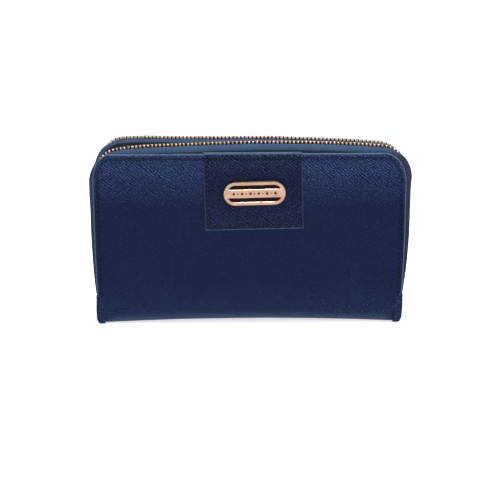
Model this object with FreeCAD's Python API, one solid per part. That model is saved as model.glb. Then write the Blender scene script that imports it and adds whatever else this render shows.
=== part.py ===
import FreeCAD, Part
import math
import os
from FreeCAD import Placement, Rotation, Vector

# Double zip-around wallet, standing on its spine.
# X runs along the width, Y through the depth (the front cover is at -Y), Z is up.
# The origin is the middle of the underside of the spine. Every length is in millimetres.
#
# How it is built: one spine at the bottom carries a stiff divider. A front cover and a back
# cover fold away from the divider on the spine's two long creases. Each cover is joined to the
# divider by a metal zip that runs up one side, along the top and down the other side, so there
# are two separate compartments. Four pleated gussets limit how far the covers open. The front
# cover carries a leather tab with a slotted metal nameplate. Inside are card slots, a bill
# pocket, a slip pocket and a zipped coin pocket.

# ---------------------------------------------------------------- driving dimensions
DEPTH = 40.0                 # outside of the front leather to outside of the back leather
COVER_FOOT_Z = 9.3           # lower edge of both covers, just above the spine's creases
COVER_TOP_Z = 106.5          # upper edge of both covers
COVER_FOOT_HALF = 94.0       # half width of a cover at its lower edge
COVER_TILT = 2.0             # the covers' sides lean outward by this, in degrees
COVER_CORNER_R = 14.0        # upper corners of the covers

ZIP_FOOT = (92.0, 15.0)      # lower end of a zip's centre line, x and z
ZIP_TILT = 6.1               # the zip's side runs lean outward by this, in degrees
ZIP_TOP_Z = 111.0            # the zip's centre line along the top
ZIP_CORNER_R = 18.0
ZIP_Y = 9.5                  # distance of each zip from the divider's middle
TOOTH_PITCH = 2.5
TAPE_T = 0.5

LEATHER_T = 1.1
BOARD_T = 1.1
LINING_T = 0.4
SPINE_R = 8.0                # outer radius of the spine's two long creases
SPINE_TOP_Z = 9.0
SPINE_HALF = 94.0

DIVIDER_BOARD_T = 1.4
DIVIDER_FACE_T = 0.45

TAB_X, TAB_W, TAB_FOOT_Z, TAB_T = 2.0, 60.0, 59.5, 1.0
TAB_SLANT = 0.55             # the tab's lower edge rises by this each side of its middle
PLATE_X, PLATE_Z, PLATE_W, PLATE_H, PLATE_T = 3.0, 82.8, 38.6, 15.0, 1.5
PLATE_BORDER, PLATE_BAR_H, PLATE_TURN = 2.4, 5.2, 1.2

SLIDER_S = 9.3               # distance of a closed slider's middle from the zip's lower end
COIN_Z, COIN_HALF, COIN_SCALE, COIN_Y = 84.0, 66.0, 0.8, 4.9

OUT = "parts"
os.makedirs(OUT, exist_ok=True)
made = []


def save(name, shape):
    solids = shape.Solids
    for s in solids:
        if not s.isValid() or s.Volume <= 0:
            raise RuntimeError(name + " has a bad solid")
    out = solids[0] if len(solids) == 1 else Part.makeCompound(solids)
    out.exportStep(os.path.join(OUT, name + ".step"))
    made.append((name, len(solids), round(sum(s.Volume for s in solids), 1)))


def box(x0, x1, y0, y1, z0, z1):
    return Part.makeBox(x1 - x0, y1 - y0, z1 - z0, Vector(x0, y0, z0))


def mirrored_x(shape):
    return shape.mirror(Vector(0, 0, 0), Vector(1, 0, 0))


def mirrored_y(shape):
    return shape.mirror(Vector(0, 0, 0), Vector(0, 1, 0))


def one(shapes):
    """The shapes as one solid."""
    joined = shapes[0].fuse(shapes[1:]).removeSplitter()
    if len(joined.Solids) != 1:
        raise RuntimeError("the fuse left %d solids" % len(joined.Solids))
    return joined.Solids[0]


class Arch:
    """An inverted U in the XZ plane: a leaning side, a round corner, a level top, and the same mirrored."""

    def __init__(self, foot, tilt, top, radius):
        self.t = math.radians(tilt)
        self.foot, self.top, self.r = foot, top, radius
        self.cz = top - radius
        self.cx = foot[0] + ((self.cz - foot[1]) * math.sin(self.t) - radius) / math.cos(self.t)
        self.n = (math.cos(self.t), -math.sin(self.t))
        self.u = (math.sin(self.t), math.cos(self.t))
        self.side = (self.cx + radius * self.n[0] - foot[0]) * self.u[0] + (
            self.cz + radius * self.n[1] - foot[1]
        ) * self.u[1]
        self.turn = math.pi / 2 + self.t
        self.corner = radius * self.turn
        self.length = 2 * (self.side + self.corner + self.cx)

    def half_width(self, z, off=0.0):
        """Half width of the straight side at height z, moved outward by off."""
        return self.foot[0] + (z - self.foot[1]) * math.tan(self.t) + off / math.cos(self.t)

    def at(self, s):
        """Point and the angle of the outward normal from +X, at distance s from the right-hand foot."""
        if s > self.length / 2:
            (x, z), a = self.at(self.length - s)
            return (-x, z), math.pi - a
        if s <= self.side:
            return (self.foot[0] + s * self.u[0], self.foot[1] + s * self.u[1]), -self.t
        s -= self.side
        if s <= self.corner:
            a = -self.t + s / self.r
            return (self.cx + self.r * math.cos(a), self.cz + self.r * math.sin(a)), a
        s -= self.corner
        return (self.cx - s, self.top), math.pi / 2

    def face(self, off, z0, y, top=None):
        """The area under the arch moved outward by off, above z0, in the plane at y. top cuts it off level."""
        r = self.r + off
        if top is not None and top <= self.cz - r * math.sin(self.t):
            w0, w1 = self.half_width(z0, off), self.half_width(top, off)
            p = [Vector(w0, y, z0), Vector(w1, y, top), Vector(-w1, y, top), Vector(-w0, y, z0)]
            return Part.Face(Part.makePolygon(p + [p[0]]))
        a0, am = -self.t, (-self.t + math.pi / 2) / 2

        def c(a, sx=1):
            return Vector(sx * (self.cx + r * math.cos(a)), y, self.cz + r * math.sin(a))

        w = self.half_width(z0, off)
        edges = [
            Part.LineSegment(Vector(w, y, z0), c(a0)).toShape(),
            Part.Arc(c(a0), c(am), c(math.pi / 2)).toShape(),
            Part.LineSegment(c(math.pi / 2), c(math.pi / 2, -1)).toShape(),
            Part.Arc(c(math.pi / 2, -1), c(am, -1), c(a0, -1)).toShape(),
            Part.LineSegment(c(a0, -1), Vector(-w, y, z0)).toShape(),
            Part.LineSegment(Vector(-w, y, z0), Vector(w, y, z0)).toShape(),
        ]
        return Part.Face(Part.Wire(edges))

    def plate(self, off, z0, y0, y1, top=None):
        return self.face(off, z0, y0, top).extrude(Vector(0, y1 - y0, 0))

    def sweep(self, profile, start=0.0):
        """A closed (n, y) profile carried along the whole arch. start lengthens both feet."""

        def section(p, n):
            pts = [Vector(p[0] + a * n[0], b, p[1] + a * n[1]) for a, b in profile]
            return Part.Face(Part.makePolygon(pts + [pts[0]]))

        foot = (self.foot[0] - start * self.u[0], self.foot[1] - start * self.u[1])
        run = self.side + start
        right = section(foot, self.n).extrude(Vector(run * self.u[0], 0, run * self.u[1]))
        end = (foot[0] + run * self.u[0], foot[1] + run * self.u[1])
        bend = section(end, self.n).revolve(
            Vector(self.cx, 0, self.cz), Vector(0, -1, 0), math.degrees(self.turn)
        )
        top = section((self.cx, self.top), (0, 1)).extrude(Vector(-2 * self.cx, 0, 0))
        return one([right, bend, top, mirrored_x(bend), mirrored_x(right)])


def strip(line, thick):
    """A closed profile that has the given centre line and thickness."""
    left, right = [], []
    for i, (a, b) in enumerate(line):
        dirs = []
        if i:
            dirs.append((a - line[i - 1][0], b - line[i - 1][1]))
        if i < len(line) - 1:
            dirs.append((line[i + 1][0] - a, line[i + 1][1] - b))
        dirs = [(x / math.hypot(x, y), y / math.hypot(x, y)) for x, y in dirs]
        d = (sum(x for x, _ in dirs), sum(y for _, y in dirs))
        m = math.hypot(*d)
        d = (d[0] / m, d[1] / m)
        k = thick / 2 / (d[0] * dirs[0][0] + d[1] * dirs[0][1])
        left.append((a - d[1] * k, b + d[0] * k))
        right.append((a + d[1] * k, b - d[0] * k))
    return left + right[::-1]


cover = Arch((COVER_FOOT_HALF, COVER_FOOT_Z), COVER_TILT, COVER_TOP_Z, COVER_CORNER_R)
zipper = Arch(ZIP_FOOT, ZIP_TILT, ZIP_TOP_Z, ZIP_CORNER_R)

FRONT = -DEPTH / 2
y_leather_in = FRONT + LEATHER_T                       # -18.9
y_board_in = y_leather_in + 0.05 + BOARD_T             # -17.75
y_flange = y_board_in + 0.05 + TAPE_T / 2              # middle of the tape's sewn edge
y_lining = y_flange + TAPE_T / 2 + 0.05
y_lining_in = y_lining + LINING_T                      # -16.75

# ---------------------------------------------------------------- nameplate, in its own frame
# local x along the plate, local y up, local z out of the cover; the origin is on the tab's face


def stadium(w, h, z0, z1):
    r = h / 2
    a = w / 2 - r
    e = [
        Part.LineSegment(Vector(-a, -r, z0), Vector(a, -r, z0)).toShape(),
        Part.Arc(Vector(a, -r, z0), Vector(a + r, 0, z0), Vector(a, r, z0)).toShape(),
        Part.LineSegment(Vector(a, r, z0), Vector(-a, r, z0)).toShape(),
        Part.Arc(Vector(-a, r, z0), Vector(-a - r, 0, z0), Vector(-a, -r, z0)).toShape(),
    ]
    return Part.Face(Part.Wire(e)).extrude(Vector(0, 0, z1 - z0))


def on_tab(shape):
    """Stands a nameplate shape on the tab's face, turned a little in its plane."""
    s = shape.copy()
    s.Placement = Placement(
        Vector(PLATE_X, FRONT - 0.05 - TAB_T, PLATE_Z), Rotation(Vector(1, 0, 0), 90)
    ).multiply(Placement(Vector(0, 0, 0), Rotation(Vector(0, 0, 1), PLATE_TURN)))
    return s


INLAY_T = 0.4
z_plate = 0.05 + INLAY_T + 0.05
outer = stadium(PLATE_W, PLATE_H, z_plate, z_plate + PLATE_T)
outer = outer.makeFillet(
    0.5, [e for e in outer.Edges if abs(e.BoundBox.ZMin - z_plate - PLATE_T) < 1e-6 and abs(e.BoundBox.ZMax - z_plate - PLATE_T) < 1e-6]
)
window = stadium(PLATE_W - 2 * PLATE_BORDER, PLATE_H - 2 * PLATE_BORDER, z_plate - 1, z_plate + PLATE_T + 1)
bar = box(-PLATE_W, PLATE_W, -PLATE_BAR_H / 2, PLATE_BAR_H / 2, z_plate - 2, z_plate + PLATE_T + 2)
slots = window.cut(bar)
frame = outer.cut(slots)
PRONGS = (-12.0, 12.0)
PRONG_W, PRONG_T, PRONG_L = 2.0, 0.6, 3.0
for px in PRONGS:
    frame = frame.fuse(box(px - PRONG_W / 2, px + PRONG_W / 2, -PRONG_T / 2, PRONG_T / 2, -PRONG_L, z_plate + 0.2))
frame = frame.removeSplitter()
prong_holes = [
    box(px - PRONG_W / 2 - 0.15, px + PRONG_W / 2 + 0.15, -PRONG_T / 2 - 0.15, PRONG_T / 2 + 0.15, -6, z_plate + 1)
    for px in PRONGS
]
inlay = stadium(PLATE_W - 1.6, PLATE_H - 1.6, 0.05, 0.05 + INLAY_T)
for h in prong_holes:
    inlay = inlay.cut(h)
save("nameplate_frame", on_tab(frame))
save("nameplate_inlay", on_tab(inlay))
hole_tools = [on_tab(h) for h in prong_holes]
# the washer lies behind the leather, in a recess of the board
washer_y0 = y_leather_in + 0.05
washer = stadium(30.0, 6.0, -(washer_y0 + 0.5 - (FRONT - 0.05 - TAB_T)), -(washer_y0 - (FRONT - 0.05 - TAB_T)))
recess = stadium(31.0, 7.0, -(washer_y0 + 0.9 - (FRONT - 0.05 - TAB_T)), 0)
for h in prong_holes:
    washer = washer.cut(h)
save("nameplate_washer", on_tab(washer))
board_recess = on_tab(recess)

# ---------------------------------------------------------------- covers


def leather_tray():
    """Outer leather, turned over the board's edge all round except at the crease."""
    whole = cover.plate(0, COVER_FOOT_Z, FRONT, y_board_in)
    pocket = cover.plate(-1.0, COVER_FOOT_Z - 1, y_leather_in, y_board_in + 1)
    tray = whole.cut(pocket)
    edges = [
        e
        for e in tray.Edges
        if abs(e.BoundBox.YMin - FRONT) < 1e-6
        and abs(e.BoundBox.YMax - FRONT) < 1e-6
        and e.BoundBox.ZMax > COVER_FOOT_Z + 1
    ]
    return tray.makeFillet(0.7, edges)


tray = leather_tray()
board = cover.plate(-1.05, COVER_FOOT_Z + 0.5, y_leather_in + 0.05, y_board_in)
lining = zipper.plate(-4.9, COVER_FOOT_Z + 0.7, y_lining, y_lining_in)

front_leather = tray
for h in hole_tools:
    front_leather = front_leather.cut(h)
save("front_cover_leather", front_leather)
save("front_cover_board", board.cut(board_recess))
save("front_cover_lining", lining)
save("back_cover_leather", mirrored_y(tray))
save("back_cover_board", mirrored_y(board))
save("back_cover_lining", mirrored_y(lining))

# leather tab: hangs over the front cover's upper edge
x0, x1 = TAB_X - TAB_W / 2, TAB_X + TAB_W / 2
pts = [
    Vector(x0, FRONT - 0.05, TAB_FOOT_Z - TAB_SLANT),
    Vector(x1, FRONT - 0.05, TAB_FOOT_Z + TAB_SLANT),
    Vector(x1, FRONT - 0.05, COVER_TOP_Z + 0.05 + TAB_T),
    Vector(x0, FRONT - 0.05, COVER_TOP_Z + 0.05 + TAB_T),
]
tab = Part.Face(Part.makePolygon(pts + [pts[0]])).extrude(Vector(0, -TAB_T, 0))
lip = box(x0, x1, FRONT - 0.06, y_board_in - 0.2, COVER_TOP_Z + 0.05, COVER_TOP_Z + 0.05 + TAB_T)
tab = one([tab, lip])
tab = tab.makeFillet(
    0.6,
    [
        e
        for e in tab.Edges
        if abs(e.BoundBox.ZMin - (COVER_TOP_Z + 0.05 + TAB_T)) < 1e-6
        and abs(e.BoundBox.YMin - (FRONT - 0.05 - TAB_T)) < 1e-6
        and abs(e.BoundBox.YMax - (FRONT - 0.05 - TAB_T)) < 1e-6
    ],
)
for h in hole_tools:
    tab = tab.cut(h)
save("front_tab_leather", tab)

# card slots: stepped panels, the lowest in front of the others, two cards side by side in each
ROW_T, ROW_GAP = 0.5, 0.06
row_tops_front = [87.0, 78.0, 69.0, 60.0]
for i, top in enumerate(row_tops_front):
    y0 = y_lining_in + ROW_GAP + i * (ROW_T + ROW_GAP)
    save("front_card_slot_row_%d" % (i + 1), zipper.plate(-5.6, COVER_FOOT_Z + 1.2, y0, y0 + ROW_T, top))
y_rows_in = y_lining_in + 4 * (ROW_T + ROW_GAP)

row_tops_back = [88.0, 74.0, 65.0, 56.0]
for i, top in enumerate(row_tops_back):
    y0 = y_lining_in + ROW_GAP + i * (ROW_T + ROW_GAP)
    name = "back_bill_pocket" if i == 0 else "back_card_slot_row_%d" % i
    save(name, mirrored_y(zipper.plate(-5.6, COVER_FOOT_Z + 1.2, y0, y0 + ROW_T, top)))

# ---------------------------------------------------------------- spine
outer_line = [
    Part.LineSegment(Vector(0, FRONT, SPINE_TOP_Z), Vector(0, FRONT, SPINE_R)).toShape(),
    Part.Arc(
        Vector(0, FRONT, SPINE_R),
        Vector(0, FRONT + SPINE_R * (1 - math.cos(math.pi / 4)), SPINE_R * (1 - math.sin(math.pi / 4))),
        Vector(0, FRONT + SPINE_R, 0),
    ).toShape(),
    Part.LineSegment(Vector(0, FRONT + SPINE_R, 0), Vector(0, -FRONT - SPINE_R, 0)).toShape(),
    Part.Arc(
        Vector(0, -FRONT - SPINE_R, 0),
        Vector(0, -FRONT - SPINE_R * (1 - math.cos(math.pi / 4)), SPINE_R * (1 - math.sin(math.pi / 4))),
        Vector(0, -FRONT, SPINE_R),
    ).toShape(),
    Part.LineSegment(Vector(0, -FRONT, SPINE_R), Vector(0, -FRONT, SPINE_TOP_Z)).toShape(),
]
ri = SPINE_R - LEATHER_T
inner_line = [
    Part.LineSegment(Vector(0, -FRONT, SPINE_TOP_Z), Vector(0, -FRONT - LEATHER_T, SPINE_TOP_Z)).toShape(),
    Part.LineSegment(Vector(0, -FRONT - LEATHER_T, SPINE_TOP_Z), Vector(0, -FRONT - LEATHER_T, SPINE_R)).toShape(),
    Part.Arc(
        Vector(0, -FRONT - LEATHER_T, SPINE_R),
        Vector(0, -FRONT - SPINE_R + ri * math.cos(math.pi / 4), SPINE_R - ri * math.sin(math.pi / 4)),
        Vector(0, -FRONT - SPINE_R, LEATHER_T),
    ).toShape(),
    Part.LineSegment(Vector(0, -FRONT - SPINE_R, LEATHER_T), Vector(0, FRONT + SPINE_R, LEATHER_T)).toShape(),
    Part.Arc(
        Vector(0, FRONT + SPINE_R, LEATHER_T),
        Vector(0, FRONT + SPINE_R - ri * math.cos(math.pi / 4), SPINE_R - ri * math.sin(math.pi / 4)),
        Vector(0, FRONT + LEATHER_T, SPINE_R),
    ).toShape(),
    Part.LineSegment(Vector(0, FRONT + LEATHER_T, SPINE_R), Vector(0, FRONT + LEATHER_T, SPINE_TOP_Z)).toShape(),
    Part.LineSegment(Vector(0, FRONT + LEATHER_T, SPINE_TOP_Z), Vector(0, FRONT, SPINE_TOP_Z)).toShape(),
]
spine = Part.Face(Part.Wire(outer_line + inner_line)).extrude(Vector(2 * SPINE_HALF, 0, 0))
spine.translate(Vector(-SPINE_HALF, 0, 0))
save("spine_leather", spine)
save("spine_stiffener", box(-92, 92, -11.5, 11.5, LEATHER_T + 0.05, LEATHER_T + 0.95))
Z_SPINE_IN = LEATHER_T + 1.0 + 0.4
save("spine_lining", box(-93, 93, -15.2, 15.2, LEATHER_T + 1.0, Z_SPINE_IN))

# leather tabs that close both ends of the spine below the zips' feet
END_TAB_T = 1.0
end_tab = box(91.0, 91.0 + END_TAB_T, -15.2, 15.2, Z_SPINE_IN + 0.05, 11.3)
end_tab = end_tab.makeFillet(
    3.0, [e for e in end_tab.Edges if abs(e.BoundBox.ZMin - 11.3) < 1e-6 and e.BoundBox.YLength < 1e-6]
)
save("spine_end_tab_right", end_tab)
save("spine_end_tab_left", mirrored_x(end_tab))

# ---------------------------------------------------------------- divider
half = DIVIDER_BOARD_T / 2
y_div_flange = half + 0.05 + TAPE_T / 2                # 1.0
y_face0 = y_div_flange + TAPE_T / 2 + 0.05             # 1.3
y_face1 = y_face0 + DIVIDER_FACE_T                     # 1.75
save("divider_board", zipper.plate(-4.7, Z_SPINE_IN + 0.05, -half, half))
face = zipper.plate(-4.9, Z_SPINE_IN + 0.05, y_face0, y_face1)
save("divider_back_face", face)
save("divider_front_face", mirrored_y(face))
save(
    "divider_edge_binding",
    zipper.sweep([(-4.6, -half), (-2.6, -half), (-2.1, -half + 0.4), (-2.1, half - 0.4), (-2.6, half), (-4.6, half)], 3.0),
)
save("divider_slip_pocket", zipper.plate(-5.6, Z_SPINE_IN + 1.5, y_face1 + 0.06, y_face1 + 0.56, 76.0))

# ---------------------------------------------------------------- zips round the compartments
# y is measured from the zip's centre line; the cover is on the minus side, the divider on the plus side
cover_line = [(-10.0, y_flange + ZIP_Y), (-4.6, y_flange + ZIP_Y), (-0.9, -6.9), (0.0, -5.6), (0.0, -1.8)]
divider_line = [(-10.0, ZIP_Y - y_div_flange), (-4.2, ZIP_Y - y_div_flange), (-0.9, 7.0), (0.0, 5.6), (0.0, 1.8)]


def tape(line, y):
    """A tape half along the whole arch, its middle at the given Y."""
    return zipper.sweep([(n, b + y) for n, b in strip(line, TAPE_T)], 3.0)


front_cover_tape = tape(cover_line, -ZIP_Y)
front_divider_tape = tape(divider_line, -ZIP_Y)
save("front_zip_tape_cover_side", front_cover_tape)
save("front_zip_tape_divider_side", front_divider_tape)
save("back_zip_tape_cover_side", mirrored_y(front_cover_tape))
save("back_zip_tape_divider_side", mirrored_y(front_divider_tape))


def clip(side, width, k=1.0, high=1.2, head=0.6):
    """A metal clip squeezed on a tape's edge. side is -1 on the cover's tape and +1 on the divider's. x is along the zip."""
    p = [(3.2, -high), (-head, -0.8 * high), (-head, 0.8 * high), (3.2, high), (3.2, 0.3), (1.6, 0.3), (1.6, -0.3), (3.2, -0.3)]
    pts = [Vector(-width * k / 2, side * a * k, b * k) for a, b in p]
    return Part.Face(Part.makePolygon(pts + [pts[0]])).extrude(Vector(width * k, 0, 0))


def on_arch(shape, s, y):
    (x, z), a = zipper.at(s)
    c = shape.copy()
    c.Placement = Placement(Vector(x, y, z), Rotation(Vector(0, 1, 0), 90 - math.degrees(a)))
    return c


FIRST_TOOTH = SLIDER_S - 0.3
TOOTH_W = 1.1
n_teeth = int((zipper.length - 4.0 - FIRST_TOOTH) / TOOTH_PITCH)
# the cover's row starts clear of the closed slider, so that the cover can swing away from it
COVER_ROW_SKIP = 3
row_cover = [
    on_arch(clip(-1, TOOTH_W), FIRST_TOOTH + i * TOOTH_PITCH, -ZIP_Y) for i in range(COVER_ROW_SKIP, n_teeth)
]
row_divider = [on_arch(clip(1, TOOTH_W), FIRST_TOOTH + (i + 0.5) * TOOTH_PITCH, -ZIP_Y) for i in range(n_teeth)]
save("front_zip_teeth_cover_side", Part.makeCompound(row_cover))
save("front_zip_teeth_divider_side", Part.makeCompound(row_divider))
save("back_zip_teeth_cover_side", Part.makeCompound([mirrored_y(t) for t in row_cover]))
save("back_zip_teeth_divider_side", Part.makeCompound([mirrored_y(t) for t in row_divider]))

# a stop at each end of both tapes, so that a slider can't run off
for side, name in ((-1, "cover_side"), (1, "divider_side")):
    stops = [on_arch(clip(side, 2.0, 1.0, 1.0, -0.3), s, -ZIP_Y) for s in (1.4, zipper.length - 1.4)]
    save("front_zip_stops_" + name, Part.makeCompound(stops))
    save("back_zip_stops_" + name, Part.makeCompound([mirrored_y(t) for t in stops]))

# ---------------------------------------------------------------- sliders and pulls
# local x points to the nose (the way the slider closes), local z out of the zip, local y across it
PIN_Z, PIN_R = 3.2, 0.40


def slider(k, lugs=True):
    def wing(z0, z1):
        p = [(6.0, 0), (5.0, 3.4), (2.6, 4.9), (-3.6, 4.6), (-5.4, 4.0), (-5.4, -4.0), (-3.6, -4.6), (2.6, -4.9), (5.0, -3.4)]
        pts = [Vector(a, b, z0) for a, b in p]
        return Part.Face(Part.makePolygon(pts + [pts[0]])).extrude(Vector(0, 0, z1 - z0))

    parts = [wing(1.5, 2.3), wing(-2.3, -1.5)]
    post = [(5.4, 0.0), (4.4, 1.0), (3.0, 1.2), (1.4, 0.0), (3.0, -1.2), (4.4, -1.0)]
    pts = [Vector(a, b, -1.6) for a, b in post]
    parts.append(Part.Face(Part.makePolygon(pts + [pts[0]])).extrude(Vector(0, 0, 3.2)))
    for sy in (1, -1):
        for z0, z1 in ((0.5, 1.6), (-1.6, -0.5)):
            y0, y1 = sorted((sy * 3.75, sy * 4.5))
            parts.append(box(-4.0, 1.6, y0, y1, z0, z1))
    if lugs:
        for sy in (1, -1):
            y0, y1 = sorted((sy * 1.45, sy * 2.25))
            lug = box(-0.9, 0.9, y0, y1, 2.0, PIN_Z).fuse(
                Part.makeCylinder(0.9, y1 - y0, Vector(0, y0, PIN_Z), Vector(0, 1, 0))
            )
            lug = lug.cut(Part.makeCylinder(PIN_R + 0.02, 8, Vector(0, -4, PIN_Z), Vector(0, 1, 0)))
            parts.append(lug)
    else:
        parts.append(Part.makeCylinder(0.85, 2.0, Vector(0, 0, 2.2)))
        parts.append(Part.makeCylinder(1.6, 0.7, Vector(0, 0, 4.0)))
    body = one(parts)
    return body if k == 1.0 else body.scaled(k)


def edge_pull():
    """Pull for a side zip. It hangs along local +x from the pin, which runs along local y."""
    knuckle = Part.makeCylinder(0.80, 2.5, Vector(0, -1.25, PIN_Z), Vector(0, 1, 0))
    p = [(0.3, 1.25), (2.6, 1.25), (6.0, 2.9), (15.5, 3.5), (17.2, 3.0), (18.2, 1.8), (18.2, -1.8), (17.2, -3.0), (15.5, -3.5), (6.0, -2.9), (2.6, -1.25), (0.3, -1.25)]
    pts = [Vector(a, b, PIN_Z - 0.5) for a, b in p]
    blade = Part.Face(Part.makePolygon(pts + [pts[0]])).extrude(Vector(0, 0, 1.0))
    slot = box(8.6, 13.6, -1.3, 1.3, PIN_Z - 2, PIN_Z + 2)
    for cx in (8.6, 13.6):
        slot = slot.fuse(Part.makeCylinder(1.3, 4, Vector(cx, 0, PIN_Z - 2)))
    pull = knuckle.fuse(blade).cut(slot)
    pull = pull.cut(Part.makeCylinder(PIN_R + 0.05, 8, Vector(0, -4, PIN_Z), Vector(0, 1, 0)))
    return pull.removeSplitter().Solids[0]


side_slider = slider(1.0)
side_pin = Part.makeCylinder(PIN_R, 4.4, Vector(0, -2.2, PIN_Z), Vector(0, 1, 0))
side_pull = edge_pull()
(sx, sz), sa = zipper.at(SLIDER_S)
slider_at = Placement(Vector(sx, -ZIP_Y, sz), Rotation(Vector(0, 1, 0), 90 - math.degrees(sa)))
pin_at = slider_at.multVec(Vector(0, 0, PIN_Z))
# the pull hangs straight down from the pin, while the slider leans with the zip
pull_at = Placement(pin_at, Rotation(Vector(0, 1, 0), 90)).multiply(Placement(Vector(0, 0, -PIN_Z), Rotation()))
for name, flip in (("front", False), ("back", True)):
    for part_name, shape, at in (
        ("slider_body", side_slider, slider_at),
        ("slider_pin", side_pin, slider_at),
        ("pull_tab", side_pull, pull_at),
    ):
        c = shape.copy()
        c.Placement = at
        save("%s_zip_%s" % (name, part_name), mirrored_y(c) if flip else c)
print("pin of the side sliders at", tuple(round(v, 4) for v in pin_at), "chain direction", zipper.u)

# ---------------------------------------------------------------- coin pocket on the divider's front face
CK = COIN_SCALE
yc = -COIN_Y
wall_half, wall_foot, wall_top = COIN_HALF + 7.0, 22.0, COIN_Z - 1.8 * CK
# flat front wall, with the lower tape behind its upper edge
save("coin_pocket_front_wall", box(-wall_half, wall_half, yc - 0.25, yc + 0.25, wall_foot, COIN_Z - 5.6))
side = box(-wall_half, -wall_half + 0.6, yc + 0.3, -y_face1 - 0.05, wall_foot, COIN_Z + 9.0)
foot = box(-wall_half, wall_half, yc + 0.3, -y_face1 - 0.05, wall_foot, wall_foot + 0.6)
head = box(-wall_half, wall_half, yc + 0.3, -y_face1 - 0.05, COIN_Z + 8.4, COIN_Z + 9.0)
save("coin_pocket_side_wall", one([side, mirrored_x(side), foot, head]))


def coin_tape(sign):
    z0, z1 = sorted((COIN_Z + sign * 1.8 * CK, COIN_Z + sign * 5.5))
    return box(-wall_half + 1, wall_half - 1, yc - 0.2, yc + 0.2, z0, z1)


save("coin_zip_tape_lower", coin_tape(-1))
save("coin_zip_tape_upper", coin_tape(1))
save("coin_pocket_welt", box(-wall_half, wall_half, yc - 0.25, yc + 0.25, COIN_Z + 5.6, COIN_Z + 9.0))


def on_coin(shape, x):
    c = shape.copy()
    c.Placement = Placement(Vector(x, yc, COIN_Z), Rotation(Vector(1, 0, 0), 90))
    return c


COIN_CLOSED_X = COIN_HALF - 4.0 - 6.0 * CK
coin_pitch = TOOTH_PITCH * CK
coin_first = COIN_CLOSED_X - 0.2
n_coin = int((coin_first + COIN_HALF - 3.4) / coin_pitch)
# a clip's side +1 lies on local +y, which is up here
up = [on_coin(clip(1, TOOTH_W, CK), coin_first - i * coin_pitch) for i in range(n_coin)]
down = [on_coin(clip(-1, TOOTH_W, CK), coin_first - (i + 0.5) * coin_pitch) for i in range(n_coin)]
save("coin_zip_teeth_upper", Part.makeCompound(up))
save("coin_zip_teeth_lower", Part.makeCompound(down))
save(
    "coin_zip_stops",
    Part.makeCompound(
        [on_coin(clip(sd, 2.0, CK, 1.0, -0.3), x) for sd in (1, -1) for x in (COIN_HALF - 1.6, -COIN_HALF + 1.2)]
    ),
)
save("coin_zip_slider_body", on_coin(slider(CK, False), COIN_CLOSED_X))
# the coin pull hangs from the slider's stud and swings in the plane of the divider
stud_y = yc - 2.3 * CK
ring = Part.makeCylinder(2.1, 1.0, Vector(COIN_CLOSED_X, stud_y - 0.2, COIN_Z), Vector(0, -1, 0))
blade = [(-1.1, 0.5), (-1.1, -3.2), (-2.3, -6.0), (-2.6, -13.5), (-1.6, -15.0), (1.6, -15.0), (2.6, -13.5), (2.3, -6.0), (1.1, -3.2), (1.1, 0.5)]
pts = [Vector(COIN_CLOSED_X + a, stud_y - 0.2, COIN_Z + b) for a, b in blade]
coin_pull = ring.fuse(Part.Face(Part.makePolygon(pts + [pts[0]])).extrude(Vector(0, -1.0, 0)))
coin_pull = coin_pull.cut(Part.makeCylinder(0.85 * CK + 0.07, 4, Vector(COIN_CLOSED_X, stud_y + 1, COIN_Z), Vector(0, -1, 0)))
eye = box(COIN_CLOSED_X - 1.0, COIN_CLOSED_X + 1.0, stud_y - 3, stud_y + 1, COIN_Z - 11.5, COIN_Z - 7.5)
coin_pull = coin_pull.cut(eye).removeSplitter()
save("coin_zip_pull_tab", coin_pull)
print("stud of the coin slider at", (round(COIN_CLOSED_X, 4), round(stud_y - 0.7, 4), COIN_Z))

# ---------------------------------------------------------------- pleated side gussets
# x is measured inward from the seam at the cover's edge; the folds point into the compartment
fold = [(0.0, -16.4), (0.0, -13.9), (-14.0, -12.0), (-3.0, -9.2), (-14.0, -6.6), (0.0, -4.6), (0.0, -2.1)]
GUSSET_T, GUSSET_FOOT, GUSSET_TOP = 0.4, 12.0, 74.0
x_seam = zipper.half_width(GUSSET_FOOT, -5.05)
profile = strip([(a + x_seam, b) for a, b in fold], GUSSET_T)
pts = [Vector(a, b, GUSSET_FOOT) for a, b in profile]
rise = GUSSET_TOP - GUSSET_FOOT
gusset = Part.Face(Part.makePolygon(pts + [pts[0]])).extrude(Vector(rise * math.tan(zipper.t), 0, rise))
save("front_gusset_right", gusset)
save("front_gusset_left", mirrored_x(gusset))
save("back_gusset_right", mirrored_y(gusset))
save("back_gusset_left", mirrored_x(mirrored_y(gusset)))

print(len(made), "nodes,", sum(m[1] for m in made), "solids")
print("teeth per row", n_teeth, "coin", n_coin, "arch length", round(zipper.length, 2), "side run", round(zipper.side, 2), "corner centre", round(zipper.cx, 2), round(zipper.cz, 2))
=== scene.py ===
import math

import bpy
import numpy as np
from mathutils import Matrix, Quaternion, Vector


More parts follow.
